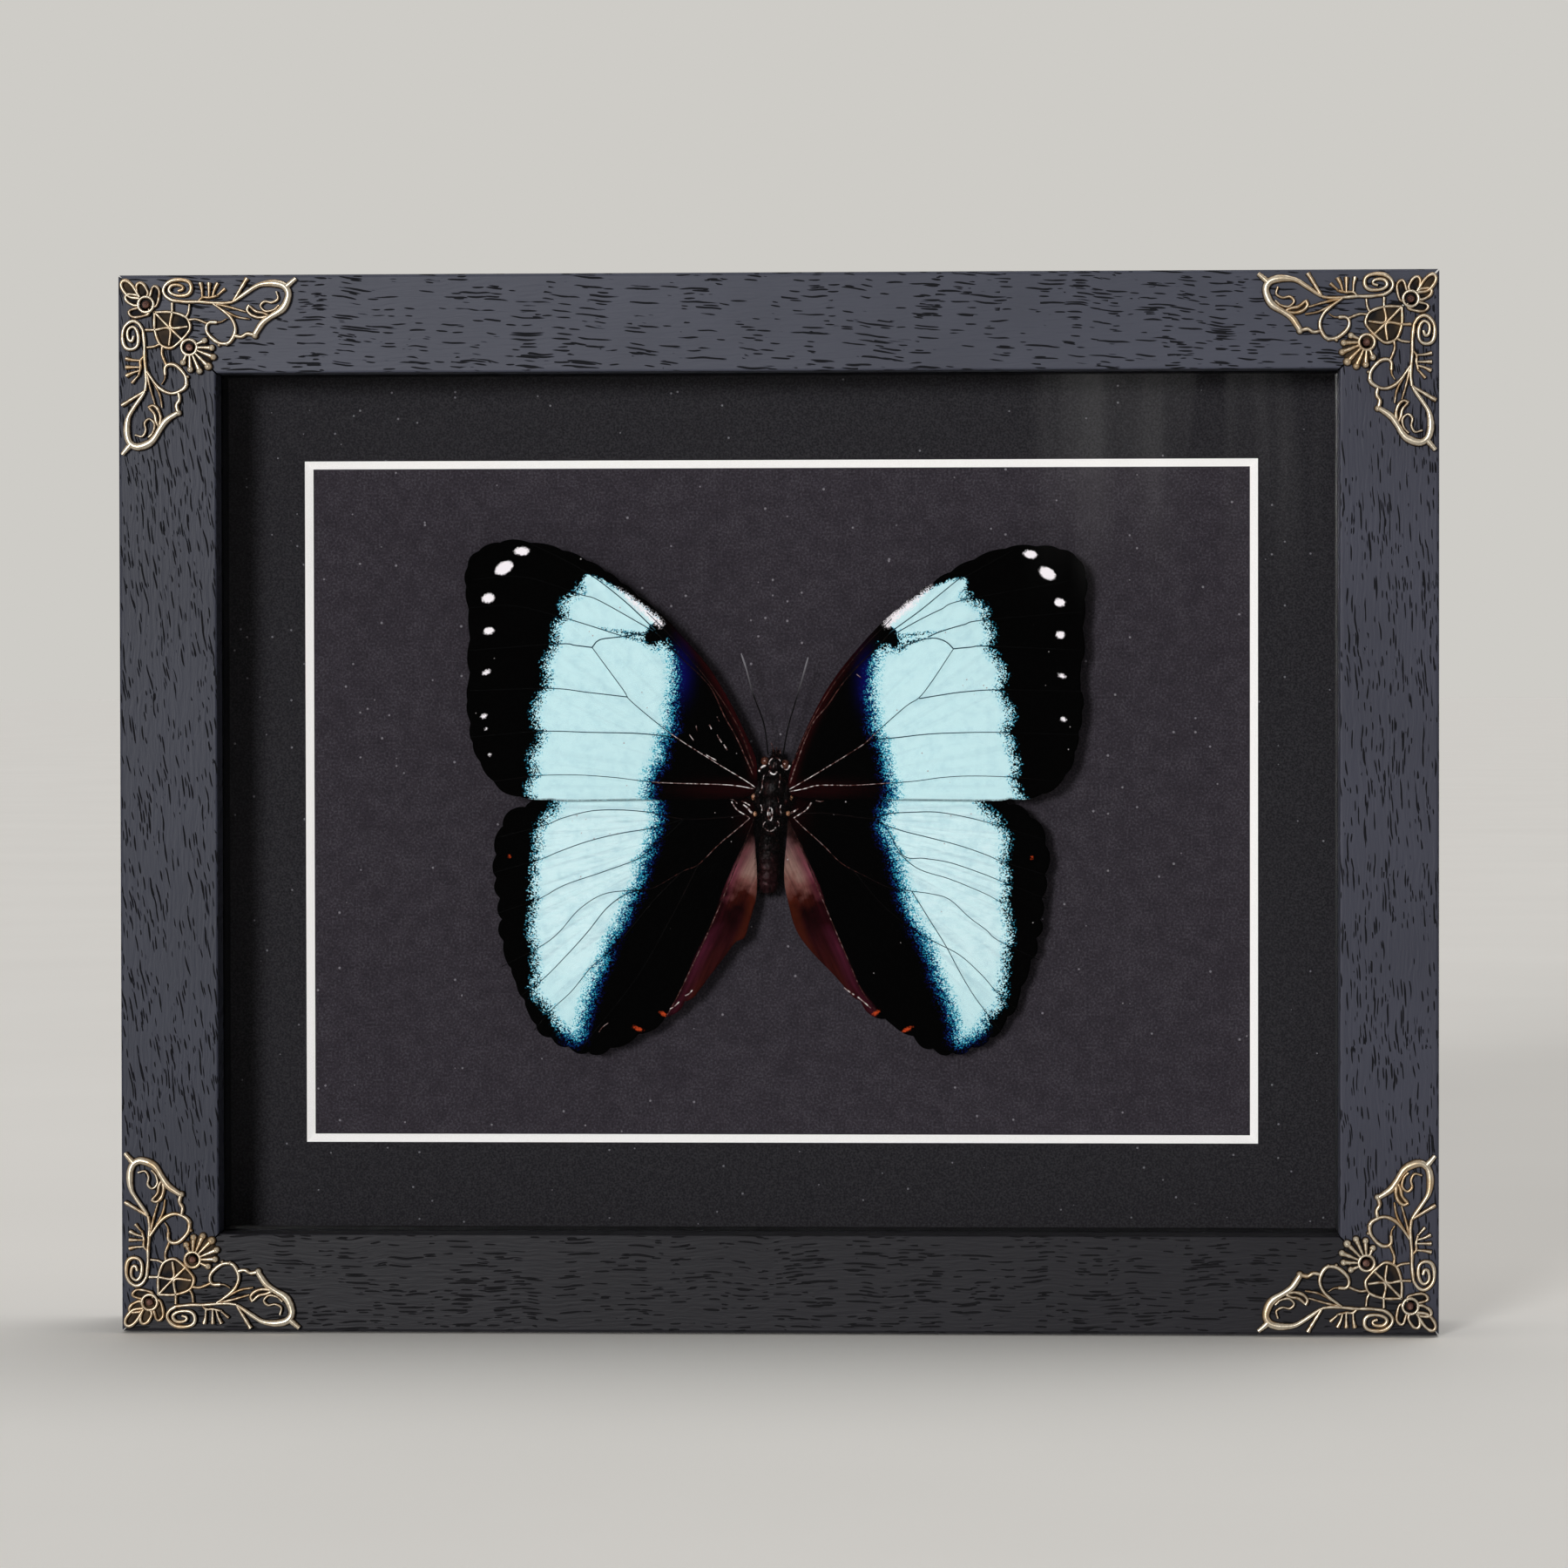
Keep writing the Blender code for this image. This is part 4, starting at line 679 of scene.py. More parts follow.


# Wings, in millimetres across and up from the middle of the thorax. Spots and marks are ovals: centre, radii
# and turn in degrees. Costal counts the band's first points, where it ends sharply. Navy is a blush: centre
# and reach. Each vein: points, half width at its start and end, and how pale it is at the start, near the
# middle and at the end, or black without. Short pale strokes among the veins are painted glints.

wings = {
    "forewing_left": {
        "side": -1,
        "depth": 14,
        "outline": path(3, 3.7, 3.4, 6.8, 5.4, 11.6, 8.6, 18.1, 12.3, 24.2, 16.7, 29.4, 21.1, 34.2, 26.7, 39,
            33.2, 43.8, 39.8, 47.1, 45.4, 48.7, 51.5, 49.4, 56.3, 48.2, 59.2, 46, 60.3, 42.9, 60.3, 39.5,
            59.9, 36, 59.6, 31.2, 59.9, 25.9, 59.7, 22, 60.2, 17.7, 59.6, 13.8, 59.3, 10.3, 58.1, 6.8,
            56.1, 3.3, 53.3, 0.3, 50.2, -1.1, 47.2, -1.5, 40.7, -1.8, 31.1, -1.7, 22.4, -1.6, 13.6, -1.7,
            5.8, -1.3, 3.2, 0.3),
        "band": path(36.2, 42.5, 31, 40.2, 26.8, 37.4, 23.4, 35, 21.2, 32.8, 22.6, 31.3, 24.5, 29.7,
            22.4, 28.6, 20.6, 28.8, 19.3, 25.1, 19.1, 21.6, 20, 16.4, 20.2, 11.6, 21.7, 10.3, 22.1, 6.3,
            23.7, 4.2, 24.1, 1.6, 25.2, -1.9, 25.2, -3.5, 46.8, -3.5, 46.8, -1.9, 47.8, 0.3, 46.5, 4.2,
            47.2, 6.8, 45.2, 10.3, 46.1, 12.9, 46.3, 16.4, 43.9, 21.6, 44.4, 25.1, 42.4, 29.4, 42.4, 32.5,
            40.7, 34.7, 40.7, 37.1, 37.6, 39.7),
        "spots": ((49.1, 47.1, 1.55, 0.85, 0), (52.6, 43.8, 2, 1.2, -30), (55.7, 37.9, 1.3, 0.95, -15),
            (55.6, 31.5, 1.1, 0.75, -10), (56.1, 23.4, 0.85, 0.5, -25), (56.6, 14.8, 0.7, 0.5, -30),
            (56.2, 12.3, 0.35, 0.3, 0), (55.4, 7.2, 0.35, 0.3, 0)),
        "costal": 5,
        "marks": ((22.8, 31.1, 2.9, 1.5, -48), (27.4, 31, 2.6, 0.22, 10), (25.9, 29.7, 1.7, 0.2, 9)),
        "patch": path(30.6, 40, 26.7, 37.5, 23.4, 35.1, 21.2, 33.1, 21.9, 32.1, 24.4, 34, 27.4, 36.5),
        "navy": (17.9, 23.2, 1.9, 4.3),
        "veins": (
            (path(3.4, 0.8, 5.4, 2.2, 12.6, 6.6, 20.2, 11.6, 27.6, 17.7, 29.1, 19.9, 35.2, 28.2), 0.09, 0.08,
             1, 0.75, 0.1),
            (path(20.2, 10.8, 26.7, 11.4, 35.4, 11.6, 45.4, 11.8, 59.2, 10.7), 0.11, 0.07),
            (path(28.2, 18.5, 35.9, 19.4, 43.5, 20.2, 59.4, 19.8), 0.1, 0.07),
            (path(35.2, 28.2, 38.5, 28.6, 42, 28.9, 59.3, 27.7), 0.12, 0.07),
            (path(35.2, 28.2, 33.7, 29.7, 29.5, 30.3, 24.1, 31.2), 0.12, 0.1),
            (path(29.5, 30.5, 40.7, 34, 50.7, 36.4, 59.5, 36), 0.1, 0.07),
            (path(23.2, 31.4, 33.7, 37.3, 37.6, 38.6, 48.5, 42, 58.8, 41.6), 0.1, 0.06),
            (path(22.8, 31.6, 28.9, 37.3, 35.4, 42.3, 42, 46, 47.2, 48.4), 0.12, 0.07),
            (path(3.8, 3.3, 7.1, 10.7, 9.3, 14.6, 12.3, 20.7, 18, 26.4, 22.8, 31.2), 0.13, 0.1, 0.45, 0.35,
             0),
            (path(3.6, 4.6, 6.2, 11.6, 9.7, 17.7, 14.5, 24.2, 19.7, 30.3, 24.5, 35.1), 0.13, 0.08, 0.38, 0.3,
             0.05),
            (path(3.6, 0.5, 8.9, 1.3, 22.4, 1.8, 31.1, 2.8, 38.9, 3.3, 46.3, 3.1, 55, 2), 0.09, 0.06, 1, 0.62,
             0),
            (path(22, 1.7, 24.2, 1.9), 0.12, 0.1, 0.5, 0.3, 0.2),
            # painted glints: the short pale strokes from here on stand for light caught on the dark scales
            # near the root
            (path(16.2, 11.1, 15.4, 10), 0.1, 0.08, 0.8, 0.8, 0.6),
            (path(14.9, 12.9, 14.7, 11.8), 0.1, 0.08, 0.6, 0.8, 0.6),
            (path(12.3, 13.1, 11.9, 12.2), 0.15, 0.1, 0.9, 1, 0.8),
            (path(10.8, 14.6, 10.4, 13.7), 0.07, 0.06, 0.7, 0.6, 0.5),
            (path(10.8, 11.1, 10.3, 10.2, 9.9, 9.6), 0.1, 0.12, 0.7, 0.9, 0.8),
            (path(9.5, 9.2, 9.2, 8.7, 8.8, 8.1), 0.14, 0.1, 0.9, 1, 0.8),
            (path(13, 7.2, 11, 6.1), 0.1, 0.1, 1, 1, 0.9),
        ),
    },
    "forewing_right": {
        "side": 1,
        "depth": 14,
        "outline": path(3.2, 0.2, 3.8, 5.1, 6.9, 12.8, 11.2, 20.7, 16.6, 27.7, 22.8, 34.2, 30, 40, 38, 44.9,
            44.8, 47.5, 50.4, 48.1, 56.1, 47.5, 59.9, 45.4, 61.5, 41.4, 61.2, 36.4, 60.9, 31, 61, 26.4,
            60.1, 22.5, 60.8, 17.4, 60.1, 11.6, 58.6, 5.1, 56.1, 1.4, 52.7, -0.9, 46.6, -1.8, 36, -1.8,
            20, -1.6, 6, -1.4),
        "band": path(38.1, 41.3, 35.7, 41.5, 33.2, 40.6, 30.6, 39.4, 28, 37.7, 25.4, 35.7, 23.3, 33.8,
            22.1, 32.2, 22.6, 32, 23.5, 30.5, 25, 28.2, 22.6, 28.1, 21.4, 28.2, 20.4, 26.2, 19.8, 23.6,
            19.4, 20.8, 19.4, 18.4, 20.1, 15.4, 20, 12.9, 20.7, 10.8, 22.1, 7.9, 22.5, 4.9, 23.2, 2.2,
            24, -0.6, 24.2, -3.5, 47.8, -3.5, 48, -0.6, 47.2, 1.8, 47.7, 5.5, 46.9, 7.6, 46.1, 10.5,
            45.6, 12.4, 46.8, 15, 45.5, 17.4, 44.4, 19.6, 45, 23.1, 43.6, 25.9, 42.2, 28.1, 43, 30.2,
            41.8, 33.3, 41.6, 35.4, 39.8, 36.8, 37.6, 38.8),
        "spots": ((50.4, 46.2, 1.4, 0.85, -10), (53.7, 42.5, 1.8, 1.15, -30), (56.1, 36.8, 1.1, 0.85, -10),
            (56.2, 30.5, 0.9, 0.8, 0), (56.5, 22.5, 0.85, 0.45, -20), (56.8, 14, 0.7, 0.5, -10)),
        "costal": 8,
        "marks": ((23, 30.4, 2.8, 1.4, -55), (27, 30.5, 2.3, 0.2, 8), (26.3, 29.1, 1.7, 0.18, 10)),
        "patch": path(31.4, 40.1, 28, 38.1, 24.4, 35.5, 21.7, 33.1, 22.7, 31.9, 25.2, 34, 28.4, 36.7),
        "navy": (18.6, 21.5, 1.8, 4.3),
        "veins": (
            (path(2.9, 0.2, 6.1, 2, 12.6, 5.9, 17.8, 9.2, 20.4, 11.6, 26.1, 16.6, 28.7, 18.3, 31.3, 21.6,
             35.4, 27.8), 0.09, 0.08, 0.95, 0.6, 0.1),
            (path(35.4, 27.8, 38.7, 28.1, 42.2, 28.3, 60.2, 27.5), 0.12, 0.07),
            (path(35.4, 27.8, 33.9, 29.2, 31.5, 29.9, 28.7, 29.4, 25, 28.1), 0.12, 0.09),
            (path(30.4, 30.1, 33, 31.2, 37.4, 32.5, 41.3, 33.4, 60.4, 35), 0.11, 0.07),
            (path(28.7, 18.1, 33, 18.8, 37.4, 19.4, 44.4, 19.8, 60.2, 19.5), 0.11, 0.07),
            (path(19.1, 10.1, 24.3, 10.5, 29.6, 11.1, 35.2, 11.4, 44.4, 11.5, 59.8, 11), 0.11, 0.07),
            (path(2.9, -0.1, 6.1, 0.5, 9.1, 1.2, 15.6, 1.2, 22.2, 1.6, 27.8, 2, 33, 2.7, 38.3, 3, 46.1, 2.8,
             55, 2), 0.09, 0.06, 1, 0.45, 0),
            (path(23.3, 31.2, 28.7, 35.1, 33, 38.6, 36.5, 41.4, 38.1, 42.1, 47, 47), 0.11, 0.07),
            (path(23.9, 30.7, 28.7, 33.4, 33, 35.5, 37.4, 37.3, 58, 41), 0.1, 0.06),
            (path(3.4, 1.6, 5.2, 6.8, 6.5, 10.3, 8.2, 13.8, 10.8, 16.8, 13.5, 20.7, 16.5, 24.2, 20.4, 28.1,
             23.3, 31.2), 0.14, 0.1, 0.5, 0.4, 0),
            (path(3.9, 5.4, 7.4, 13.2, 11.8, 20.6, 17.2, 27.4, 23.4, 33.7), 0.12, 0.08, 0.4, 0.35, 0.1),
            # a painted glint: a short pale stroke for light caught on the dark scales
            (path(16.5, 22.9, 17.6, 22), 0.09, 0.07, 0.6, 0.7, 0.5),
        ),
    },
    "hindwing_left": {
        "side": -1,
        "depth": 15.4,
        "outline": path(3.7, -7.4, 3.8, -2.4, 9, 0.6, 18, 2.8, 30, 3.2, 39, 1.8, 45, -0.8, 50, -2.8, 52.9, -5,
            54.3, -8.2, 55, -11.8, 55.1, -15.1, 54.9, -18.3, 54.3, -21.5, 54.1, -25.1, 53.9, -28.4, 52.9, -32,
            52.1, -35.2, 50.7, -37.4, 49.9, -40.5, 48.1, -43.7, 47.1, -46.3, 45.2, -48.1, 42.4, -49.8,
            40, -50.9, 36.4, -51.9, 33.2, -51.5, 29.9, -50.1, 25.9, -48.1, 23.1, -46.5, 19.9, -44.1,
            17.4, -42.1, 15, -39.7, 12.6, -36.4, 9.8, -32.8, 7.4, -29.6, 5.6, -28.6, 4.6, -25.5, 3.3, -20.7,
            3.1, -16.7, 3.4, -11.8),
        "band": path(44, 2, 24.3, 2, 23.1, -3, 22.5, -5.8, 23.5, -8.2, 24.3, -11, 25.7, -13.9, 26.3, -17.5,
            28.3, -21.5, 29.9, -25.5, 32.4, -29.6, 33.2, -32.8, 34.8, -36, 36, -39.7, 37.2, -43.3, 38, -46.5,
            38.4, -48.3, 42, -46.1, 43.6, -43.9, 44.4, -42.5, 47.1, -39.2, 46.7, -36, 46.9, -31.2,
            47.6, -27.2, 47.1, -23.1, 47.1, -18.3, 46.7, -13.9, 46.1, -10.6, 46.1, -7.4, 44, -4.6, 42, -2.4),
        "fold": path(4, -8.6, 5, -9.4, 7.8, -15.1, 9.8, -19.9, 11.8, -25.5, 14.6, -31.2, 16.2, -34.8,
            18.3, -39.7, 21, -44.4, 17.4, -44, 12, -38, 8, -33, 3, -28, 1.5, -20.7, 1.5, -12),
        "orange": ((21.5, -43.6, 0.9, 0.4, 30), (26.5, -46.5, 1.2, 0.4, 20), (51.7, -12.7, 0.3, 0.35, 0)),
        "veins": (
            (path(3.7, -4.4, 10.6, -5.2, 17.4, -5.4, 22.3, -4.5, 24.7, -4, 29.9, -3.6, 35.6, -3.8, 41.2, -5.2,
             44.8, -6.6, 54, -9), 0.11, 0.07, 0.15, 0.05, 0),
            (path(17.4, -5.4, 22.7, -7, 29.9, -8.2, 36.4, -9.8, 42, -11.8, 45.7, -13.3, 54.7, -15.9), 0.1,
             0.07),
            (path(4.5, -5.2, 5.9, -6.5, 10.6, -10.4, 14.6, -14.3, 17.8, -15.7, 23.5, -18.9, 27.5, -19.3,
             33.2, -20.1, 38, -23.1, 42, -27.6, 45.7, -30.4, 53.4, -34.4), 0.09, 0.07, 0.66, 0.1, 0),
            (path(17.4, -5.4, 20.7, -8.6, 23.5, -10.6, 26.3, -13.1, 33.2, -15.7, 40.8, -18.3, 46.1, -21.1,
             54.2, -23.9), 0.09, 0.07),
            (path(23.5, -18.9, 28.3, -19.9, 32.4, -22.7, 36.4, -27.6, 40.4, -32, 45.2, -36.8, 50.2, -40.5),
             0.1, 0.07, 0.05, 0, 0),
            (path(17.8, -15.7, 23.5, -21.5, 29.9, -29.2, 35.6, -34.4, 39.6, -39.2, 43.6, -42.9, 47, -46.9),
             0.09, 0.07, 0.05, 0, 0),
            (path(14.6, -14.3, 19.5, -23.9, 25.9, -35.2, 32, -43.3, 35.6, -47.7, 37.8, -50.9), 0.09, 0.07,
             0.1, 0, 0),
            (path(3.7, -5.4, 7.4, -15, 9.8, -20.9, 12.6, -27.4, 16.2, -35, 18.7, -40.1, 20.9, -44.1), 0.1,
             0.08, 0.2, 0.46, 0.42),
            # the wing's hinge veins, painted pale as glints where light catches them
            (path(8.1, -2, 7, -3.6, 4.7, -5.05), 0.13, 0.1, 1, 1, 0.9),
            (path(6.1, -1.9, 5.2, -2.3, 4.3, -2.9), 0.1, 0.12, 0.9, 1, 0.8),
            (path(5.8, -2.6, 4.9, -3.3, 4.1, -4.3), 0.12, 0.22, 0.9, 1, 1),
            (path(8.6, -1.5, 7.6, -1.7, 7, -2.4), 0.07, 0.09, 0.7, 0.9, 0.8),
            (path(15.8, -38.9, 16.4, -39.6, 17.2, -40), 0.12, 0.1, 0.9, 0.8, 0.9),
            (path(18.4, -41.2, 19.2, -42, 20.2, -42.6), 0.12, 0.1, 0.9, 0.9, 0.8),
            (path(32.4, -45.4, 33.5, -46.2, 34.2, -47.2), 0.08, 0.06, 0.6, 0.7, 0.5),
        ),
    },
    "hindwing_right": {
        "side": 1,
        "depth": 15.4,
        "outline": path(3.8, -2.4, 9, 0.6, 18, 2.6, 30, 2.8, 39, 1.2, 44.6, -1.2, 49, -3.2, 52.2, -6.2,
            54.1, -11, 53.9, -16.4, 53.4, -19.8, 53, -23.4, 52.9, -26.4, 52, -29.8, 51.4, -32.6, 50.2, -34.9,
            49.4, -38, 48.2, -40.6, 47.2, -43.6, 45.2, -46, 43.2, -48.6, 40.6, -50, 37.4, -51.4, 34.4, -51.9,
            31.8, -51.3, 29.6, -50.4, 26.6, -48.2, 23.4, -46, 20, -44.4, 17.2, -42, 12.2, -36.2, 7.6, -31.4,
            4.6, -27.2, 3, -21.8, 2.2, -16.8, 2.6, -10.4),
        "band": path(44, 2, 24, 2, 23.2, -1.8, 22, -4.4, 21.6, -6.6, 22.6, -9.2, 23.8, -11.9, 24.7, -15.2,
            25.6, -18.5, 26.1, -21.1, 27, -23.8, 28.2, -26.4, 29.8, -29, 30.9, -31.4, 31.8, -33.9,
            32.4, -36.4, 33.5, -39, 34.5, -41.2, 35.4, -44, 36, -46.4, 36.2, -48.7, 38.4, -48.1, 40.6, -46.6,
            41.8, -44.6, 43.2, -43.2, 44.8, -41.2, 44.9, -38.8, 45.2, -35.8, 45.6, -32.4, 46.4, -29.4,
            45.9, -24.8, 45.3, -21.3, 46, -18, 45.3, -14.2, 45.6, -11, 45.6, -8.4, 44.2, -6.3, 42.7, -4.5,
            41.1, -3.4, 40.4, -1),
        "fold": path(2.6, -5.8, 4.7, -9, 6.5, -13.1, 8.9, -18.4, 10.7, -23.5, 12.9, -28.9, 15.5, -34.8,
            17.1, -38.4, 20.4, -43.2, 18.3, -44.6, 15.5, -41.5, 10, -35.6, 5, -30.6, 1.5, -26.5, 0.5, -21.5,
            0.2, -16.1, 1, -9),
        "orange": ((20.2, -43.3, 0.9, 0.4, 30), (26.2, -46.6, 1.2, 0.4, 25), (50.6, -13, 0.3, 0.35, 0)),
        "veins": (
            (path(3.4, -4.4, 10.3, -4.3, 19.2, -5.3, 22.4, -4.4, 27.2, -4.1, 32.4, -4.1, 38.5, -5.2,
             43.7, -6.6, 53, -9.4), 0.11, 0.07, 0.15, 0.05, 0),
            (path(19.2, -5.3, 22, -6.6, 25.6, -7.8, 30.4, -9, 36.5, -10.6, 41.7, -12.4, 45.3, -13.9,
             53.6, -16.4), 0.1, 0.07),
            (path(4.1, -5.2, 5.9, -7, 9.9, -10.6, 13.5, -14.1, 18.3, -16.7, 22.8, -18.8, 27.2, -19.5,
             30.8, -20, 34.5, -21.1, 38.5, -24.7, 41.7, -27.1, 44.1, -29.2, 52, -33), 0.08, 0.07, 0.66, 0.1,
             0),
            (path(22.4, -7.4, 25.6, -12.6, 29.6, -13.1, 34.5, -13.9, 40.5, -15.9, 44.5, -17.5, 53.4, -21),
             0.09, 0.07),
            (path(24.4, -11.8, 28.4, -15.1, 34.5, -17.1, 38.5, -18.7, 42.1, -20.3, 44.9, -21.9), 0.09, 0.06),
            (path(15.5, -15.1, 20.8, -21.5, 26.4, -26.3, 31.2, -29.2, 36.5, -32, 40.9, -36, 43.7, -39.2,
             48, -43), 0.09, 0.07, 0.05, 0, 0),
            (path(27.2, -19.5, 30.4, -24.7, 33.7, -30, 36.9, -36, 39.3, -40, 41.7, -43.3, 44.8, -47.4), 0.09,
             0.07),
            (path(3.2, -5.8, 6.3, -12.8, 9.9, -21.6, 12.3, -27.3, 14.7, -32.9, 17.1, -38.4, 20.2, -43), 0.1,
             0.08, 0.2, 0.46, 0.42),
            # the wing's hinge veins, painted pale as glints where light catches them
            (path(7.5, -2.2, 6.6, -3.6, 4.1, -5.2), 0.13, 0.1, 1, 1, 0.9),
            (path(10, -1.9, 9.2, -2, 8.4, -1.8), 0.1, 0.08, 0.5, 0.7, 0.5),
            (path(5, -3.4, 4.2, -3.9, 3.4, -4.3), 0.12, 0.2, 0.9, 1, 1),
            (path(13.9, -38.4, 15, -39.2, 15.9, -39.8), 0.1, 0.12, 0.8, 0.9, 0.8),
            (path(16.6, -40.2, 17.9, -41.3, 19.2, -42.4), 0.12, 0.1, 0.9, 0.9, 0.8),
        ),
    },
}
membrane = {"spacing": 0.5, "rimStep": 0.45, "inset": 0.22, "thickness": 0.16, "ridge": 0.12,
            "ridgeWidth": 0.45, "pleatRise": 0.07, "bow": 1.1, "bowReach": 62, "ripple": 0.4,
            "rippleReach": 9, "forewingBays": 0.4, "hindwingBays": 0.85, "bayWidth": 1.6,
            "bayDrift": 5.3, "bayFrom": (40, 46), "bandStep": 0.8, "veinStep": 0.7,
            "ribFlatness": 0.7, "ribSides": 6}


def wingDepth(points, rootDepth):
    # the membrane bows towards the glass along its middle and droops at its rim
    reach = np.hypot(points[:, 0], points[:, 1])
    bow = membrane["bow"] * np.sin(np.minimum(reach / membrane["bowReach"], 1) * math.pi)
    return rootDepth - bow + membrane["ripple"] * np.sin(reach / membrane["rippleReach"])


def spotDistance(points, spots):
    # about the distance to the nearest oval mark, positive inside it
    best = np.full(len(points), -9.0)
    for x, y, rx, ry, turn in spots:
        t = math.radians(turn)
        dx, dy = points[:, 0] - x, points[:, 1] - y
        u = (dx * math.cos(t) + dy * math.sin(t)) / rx
        v = (dy * math.cos(t) - dx * math.sin(t)) / ry
        best = np.maximum(best, (1 - np.hypot(u, v)) * min(rx, ry))
    return best


def wingAttributes(points, wing, isFore, veins):
    # what the membrane's material reads at each point
    x, y = points[:, 0], points[:, 1]
    step = membrane["bandStep"]
    found = {"band": np.clip(signedDistance(points, smoothPath(wing["band"], step, True)), -12, 6),
             "vein": np.clip(np.min([lineDistance(points, line) for line in veins], axis=0), 0, 3),
             "white": spotDistance(points, wing.get("spots", ())),
             "orange": spotDistance(points, wing.get("orange", ())),
             "foldRun": np.clip((-8 - y) / 34, 0, 1)}
    # the line along the band's middle parts its soft inner edge from its crisp outer one
    middle = 33.0 if isFore else 33.5 - 0.17 * y
    found["inner"] = smoothStep(middle - x, -2, 2)
    if isFore:
        # the band ends sharply at the wing's front edge and around the dark mark
        costal = lineDistance(points, smoothPath(wing["band"][:wing["costal"]], step))
        mark = spotDistance(points, wing["marks"])
        sharp = found["band"] * (1 + 3 * smoothStep(costal, 2.6, 0.9))
        found["band"] = np.clip(np.minimum(sharp, -5 * mark), -12, 6)
        found["inner"] *= smoothStep(np.minimum(costal, -mark), 0.6, 2.2)
        patch = signedDistance(points, smoothPath(wing["patch"], 0.6, True))
        found["white"] = np.maximum(found["white"], patch * 0.3)
        nx, ny, rx, ry = wing["navy"]
        found["navy"] = np.exp(-((x - nx) / rx) ** 2 - ((y - ny) / ry) ** 2)
        edge = lineDistance(points, smoothPath(wing["outline"][:8], step))
        strip = np.exp(-(edge / 1.2) ** 2) * smoothStep(x, 23, 7)
        base = 0.4 * np.exp(-((y - 0.4) / 1.6) ** 2) * smoothStep(x, 25, 8)
        found["rust"] = np.clip(np.maximum(strip, base), 0, 1)
        found["fold"], found["foldAcross"] = np.full(len(x), -9.0), np.zeros(len(x))
        found["creased"] = np.full(len(x), 0.25)
    else:
        found["navy"] = np.zeros(len(x))
        found["rust"] = 0.25 * np.exp(-((x - 4) / 3) ** 2 - ((y + 4) / 5) ** 2)
        found["fold"] = np.clip(signedDistance(points, smoothPath(wing["fold"], step, True)), -9, 9)
        found["foldAcross"] = np.clip(lineDistance(points, smoothPath(wing["fold"][1:9], step)), 0, 6)
        found["creased"] = smoothStep(y, -44, -30) * smoothStep(y, 2, -6) + 0.2
    found["fan"] = np.degrees(np.arctan2(y + (0 if isFore else 4.0), x - 3.0))
    found["reach"] = np.hypot(x - 3, y)
    return found


# Scales in rows: pale ice blue across the band, dusted out into cyan, blue and velvet black

membraneMaterial, shader, add, place = newMaterial("butterfly wing, scaled membrane", Roughness=0.6,
                                                   SpecularIORLevel=0)
given = {key: add("Attribute", attribute_name=key).outputs["Fac"]
         for key in ("band", "inner", "vein", "white", "navy", "rust", "fold", "foldRun", "foldAcross",
                     "orange", "rim", "fan", "reach", "creased")}
# single scales, drawn a little larger than the real 0.1 mm so that they show
scales = add("TexVoronoi", place, Scale=4900).outputs
# rows of scales run up the wing, so the dusting has a combed look
combed = add("Mapping", place, Scale=(2.6 * mm, 1, 0.5 * mm), vector_type="TEXTURE")
comb = add("TexNoise", combed, Scale=1, Detail=2)
speck = add("Math MULTIPLY_ADD", add("SeparateColor", scales["Color"]), 2.7, -1.35)
cloud = add("Math MULTIPLY_ADD", add("TexNoise", place, Scale=700, Detail=3), 0.9, -0.45)
teeth = add("Math MULTIPLY_ADD", comb, 0.7, -0.35)
beside = add("MapRange", given["vein"], 0.1, 0.7, -0.7, 0)
total = add("Math ADD", given["band"], speck, cloud, teeth, beside)
run = add("MapRange", total, -4, 4)
outer = add("ValToRGB", run, stops=(0.46, "#010101", 0.485, "#14607A", 0.515, "#58B0CA", 0.55, "#A2D8E4",
                                    0.60, "#C3E9EE"))
inner = add("ValToRGB", run, stops=(0.26, "#010101", 0.34, "#060630", 0.41, "#0A2C66", 0.47, "#12708C",
                                    0.53, "#3FA9C2", 0.59, "#8CCFDB", 0.66, "#C3E9EE"))
inside = add("MapRange", total, 0.6, 1.8)
# soft creases between the veins: bumped, and darkened in their valleys with painted shade
fanned = add("Mapping", add("CombineXYZ", given["fan"], given["reach"]), Scale=(0.62, 0.045, 1))
folds = add("TexNoise", fanned, Scale=1, Detail=3, Distortion=0.4)
paintedCreaseShade = add("Math MULTIPLY", add("MapRange", folds, 0.5, 0.36), inside, given["creased"], 0.62)
bright = add("Math MULTIPLY_ADD", given["creased"], 0.75, 0.2)
streaks = add("Math MULTIPLY", comb, inside, bright)
# patches where the scales are thinner
thin = add("TexNoise", place, Scale=420, Detail=5, Roughness=0.7)
thin = add("Math MULTIPLY", add("MapRange", thin, 0.47, 0.72, 0, 0.5), inside)
# the forewing's hind edge: a dark hairline of painted shadow over the band, where the edge would shade the
# hindwing under it
paintedEdgeShadow = add("Math MULTIPLY", add("MapRange", given["rim"], 0.4, 0.1, 0, 0.7), inside)
# deep blue beside the forewing's band, then rust along its front edge
deep = add("Math MULTIPLY", add("MapRange", total, 0.4, -0.6), given["navy"])
colour = add("Mix RGBA", given["inner"], outer, inner)
for amount, tone in ((paintedCreaseShade, "#8FB6C2"), (streaks, "#DDF6FA"), (thin, "#A4CEDA"), (paintedEdgeShadow, "#1A1430"),
                     (deep, "#08084A"), (given["rust"], "#260709")):
    colour = add("Mix RGBA", amount, colour, tone)
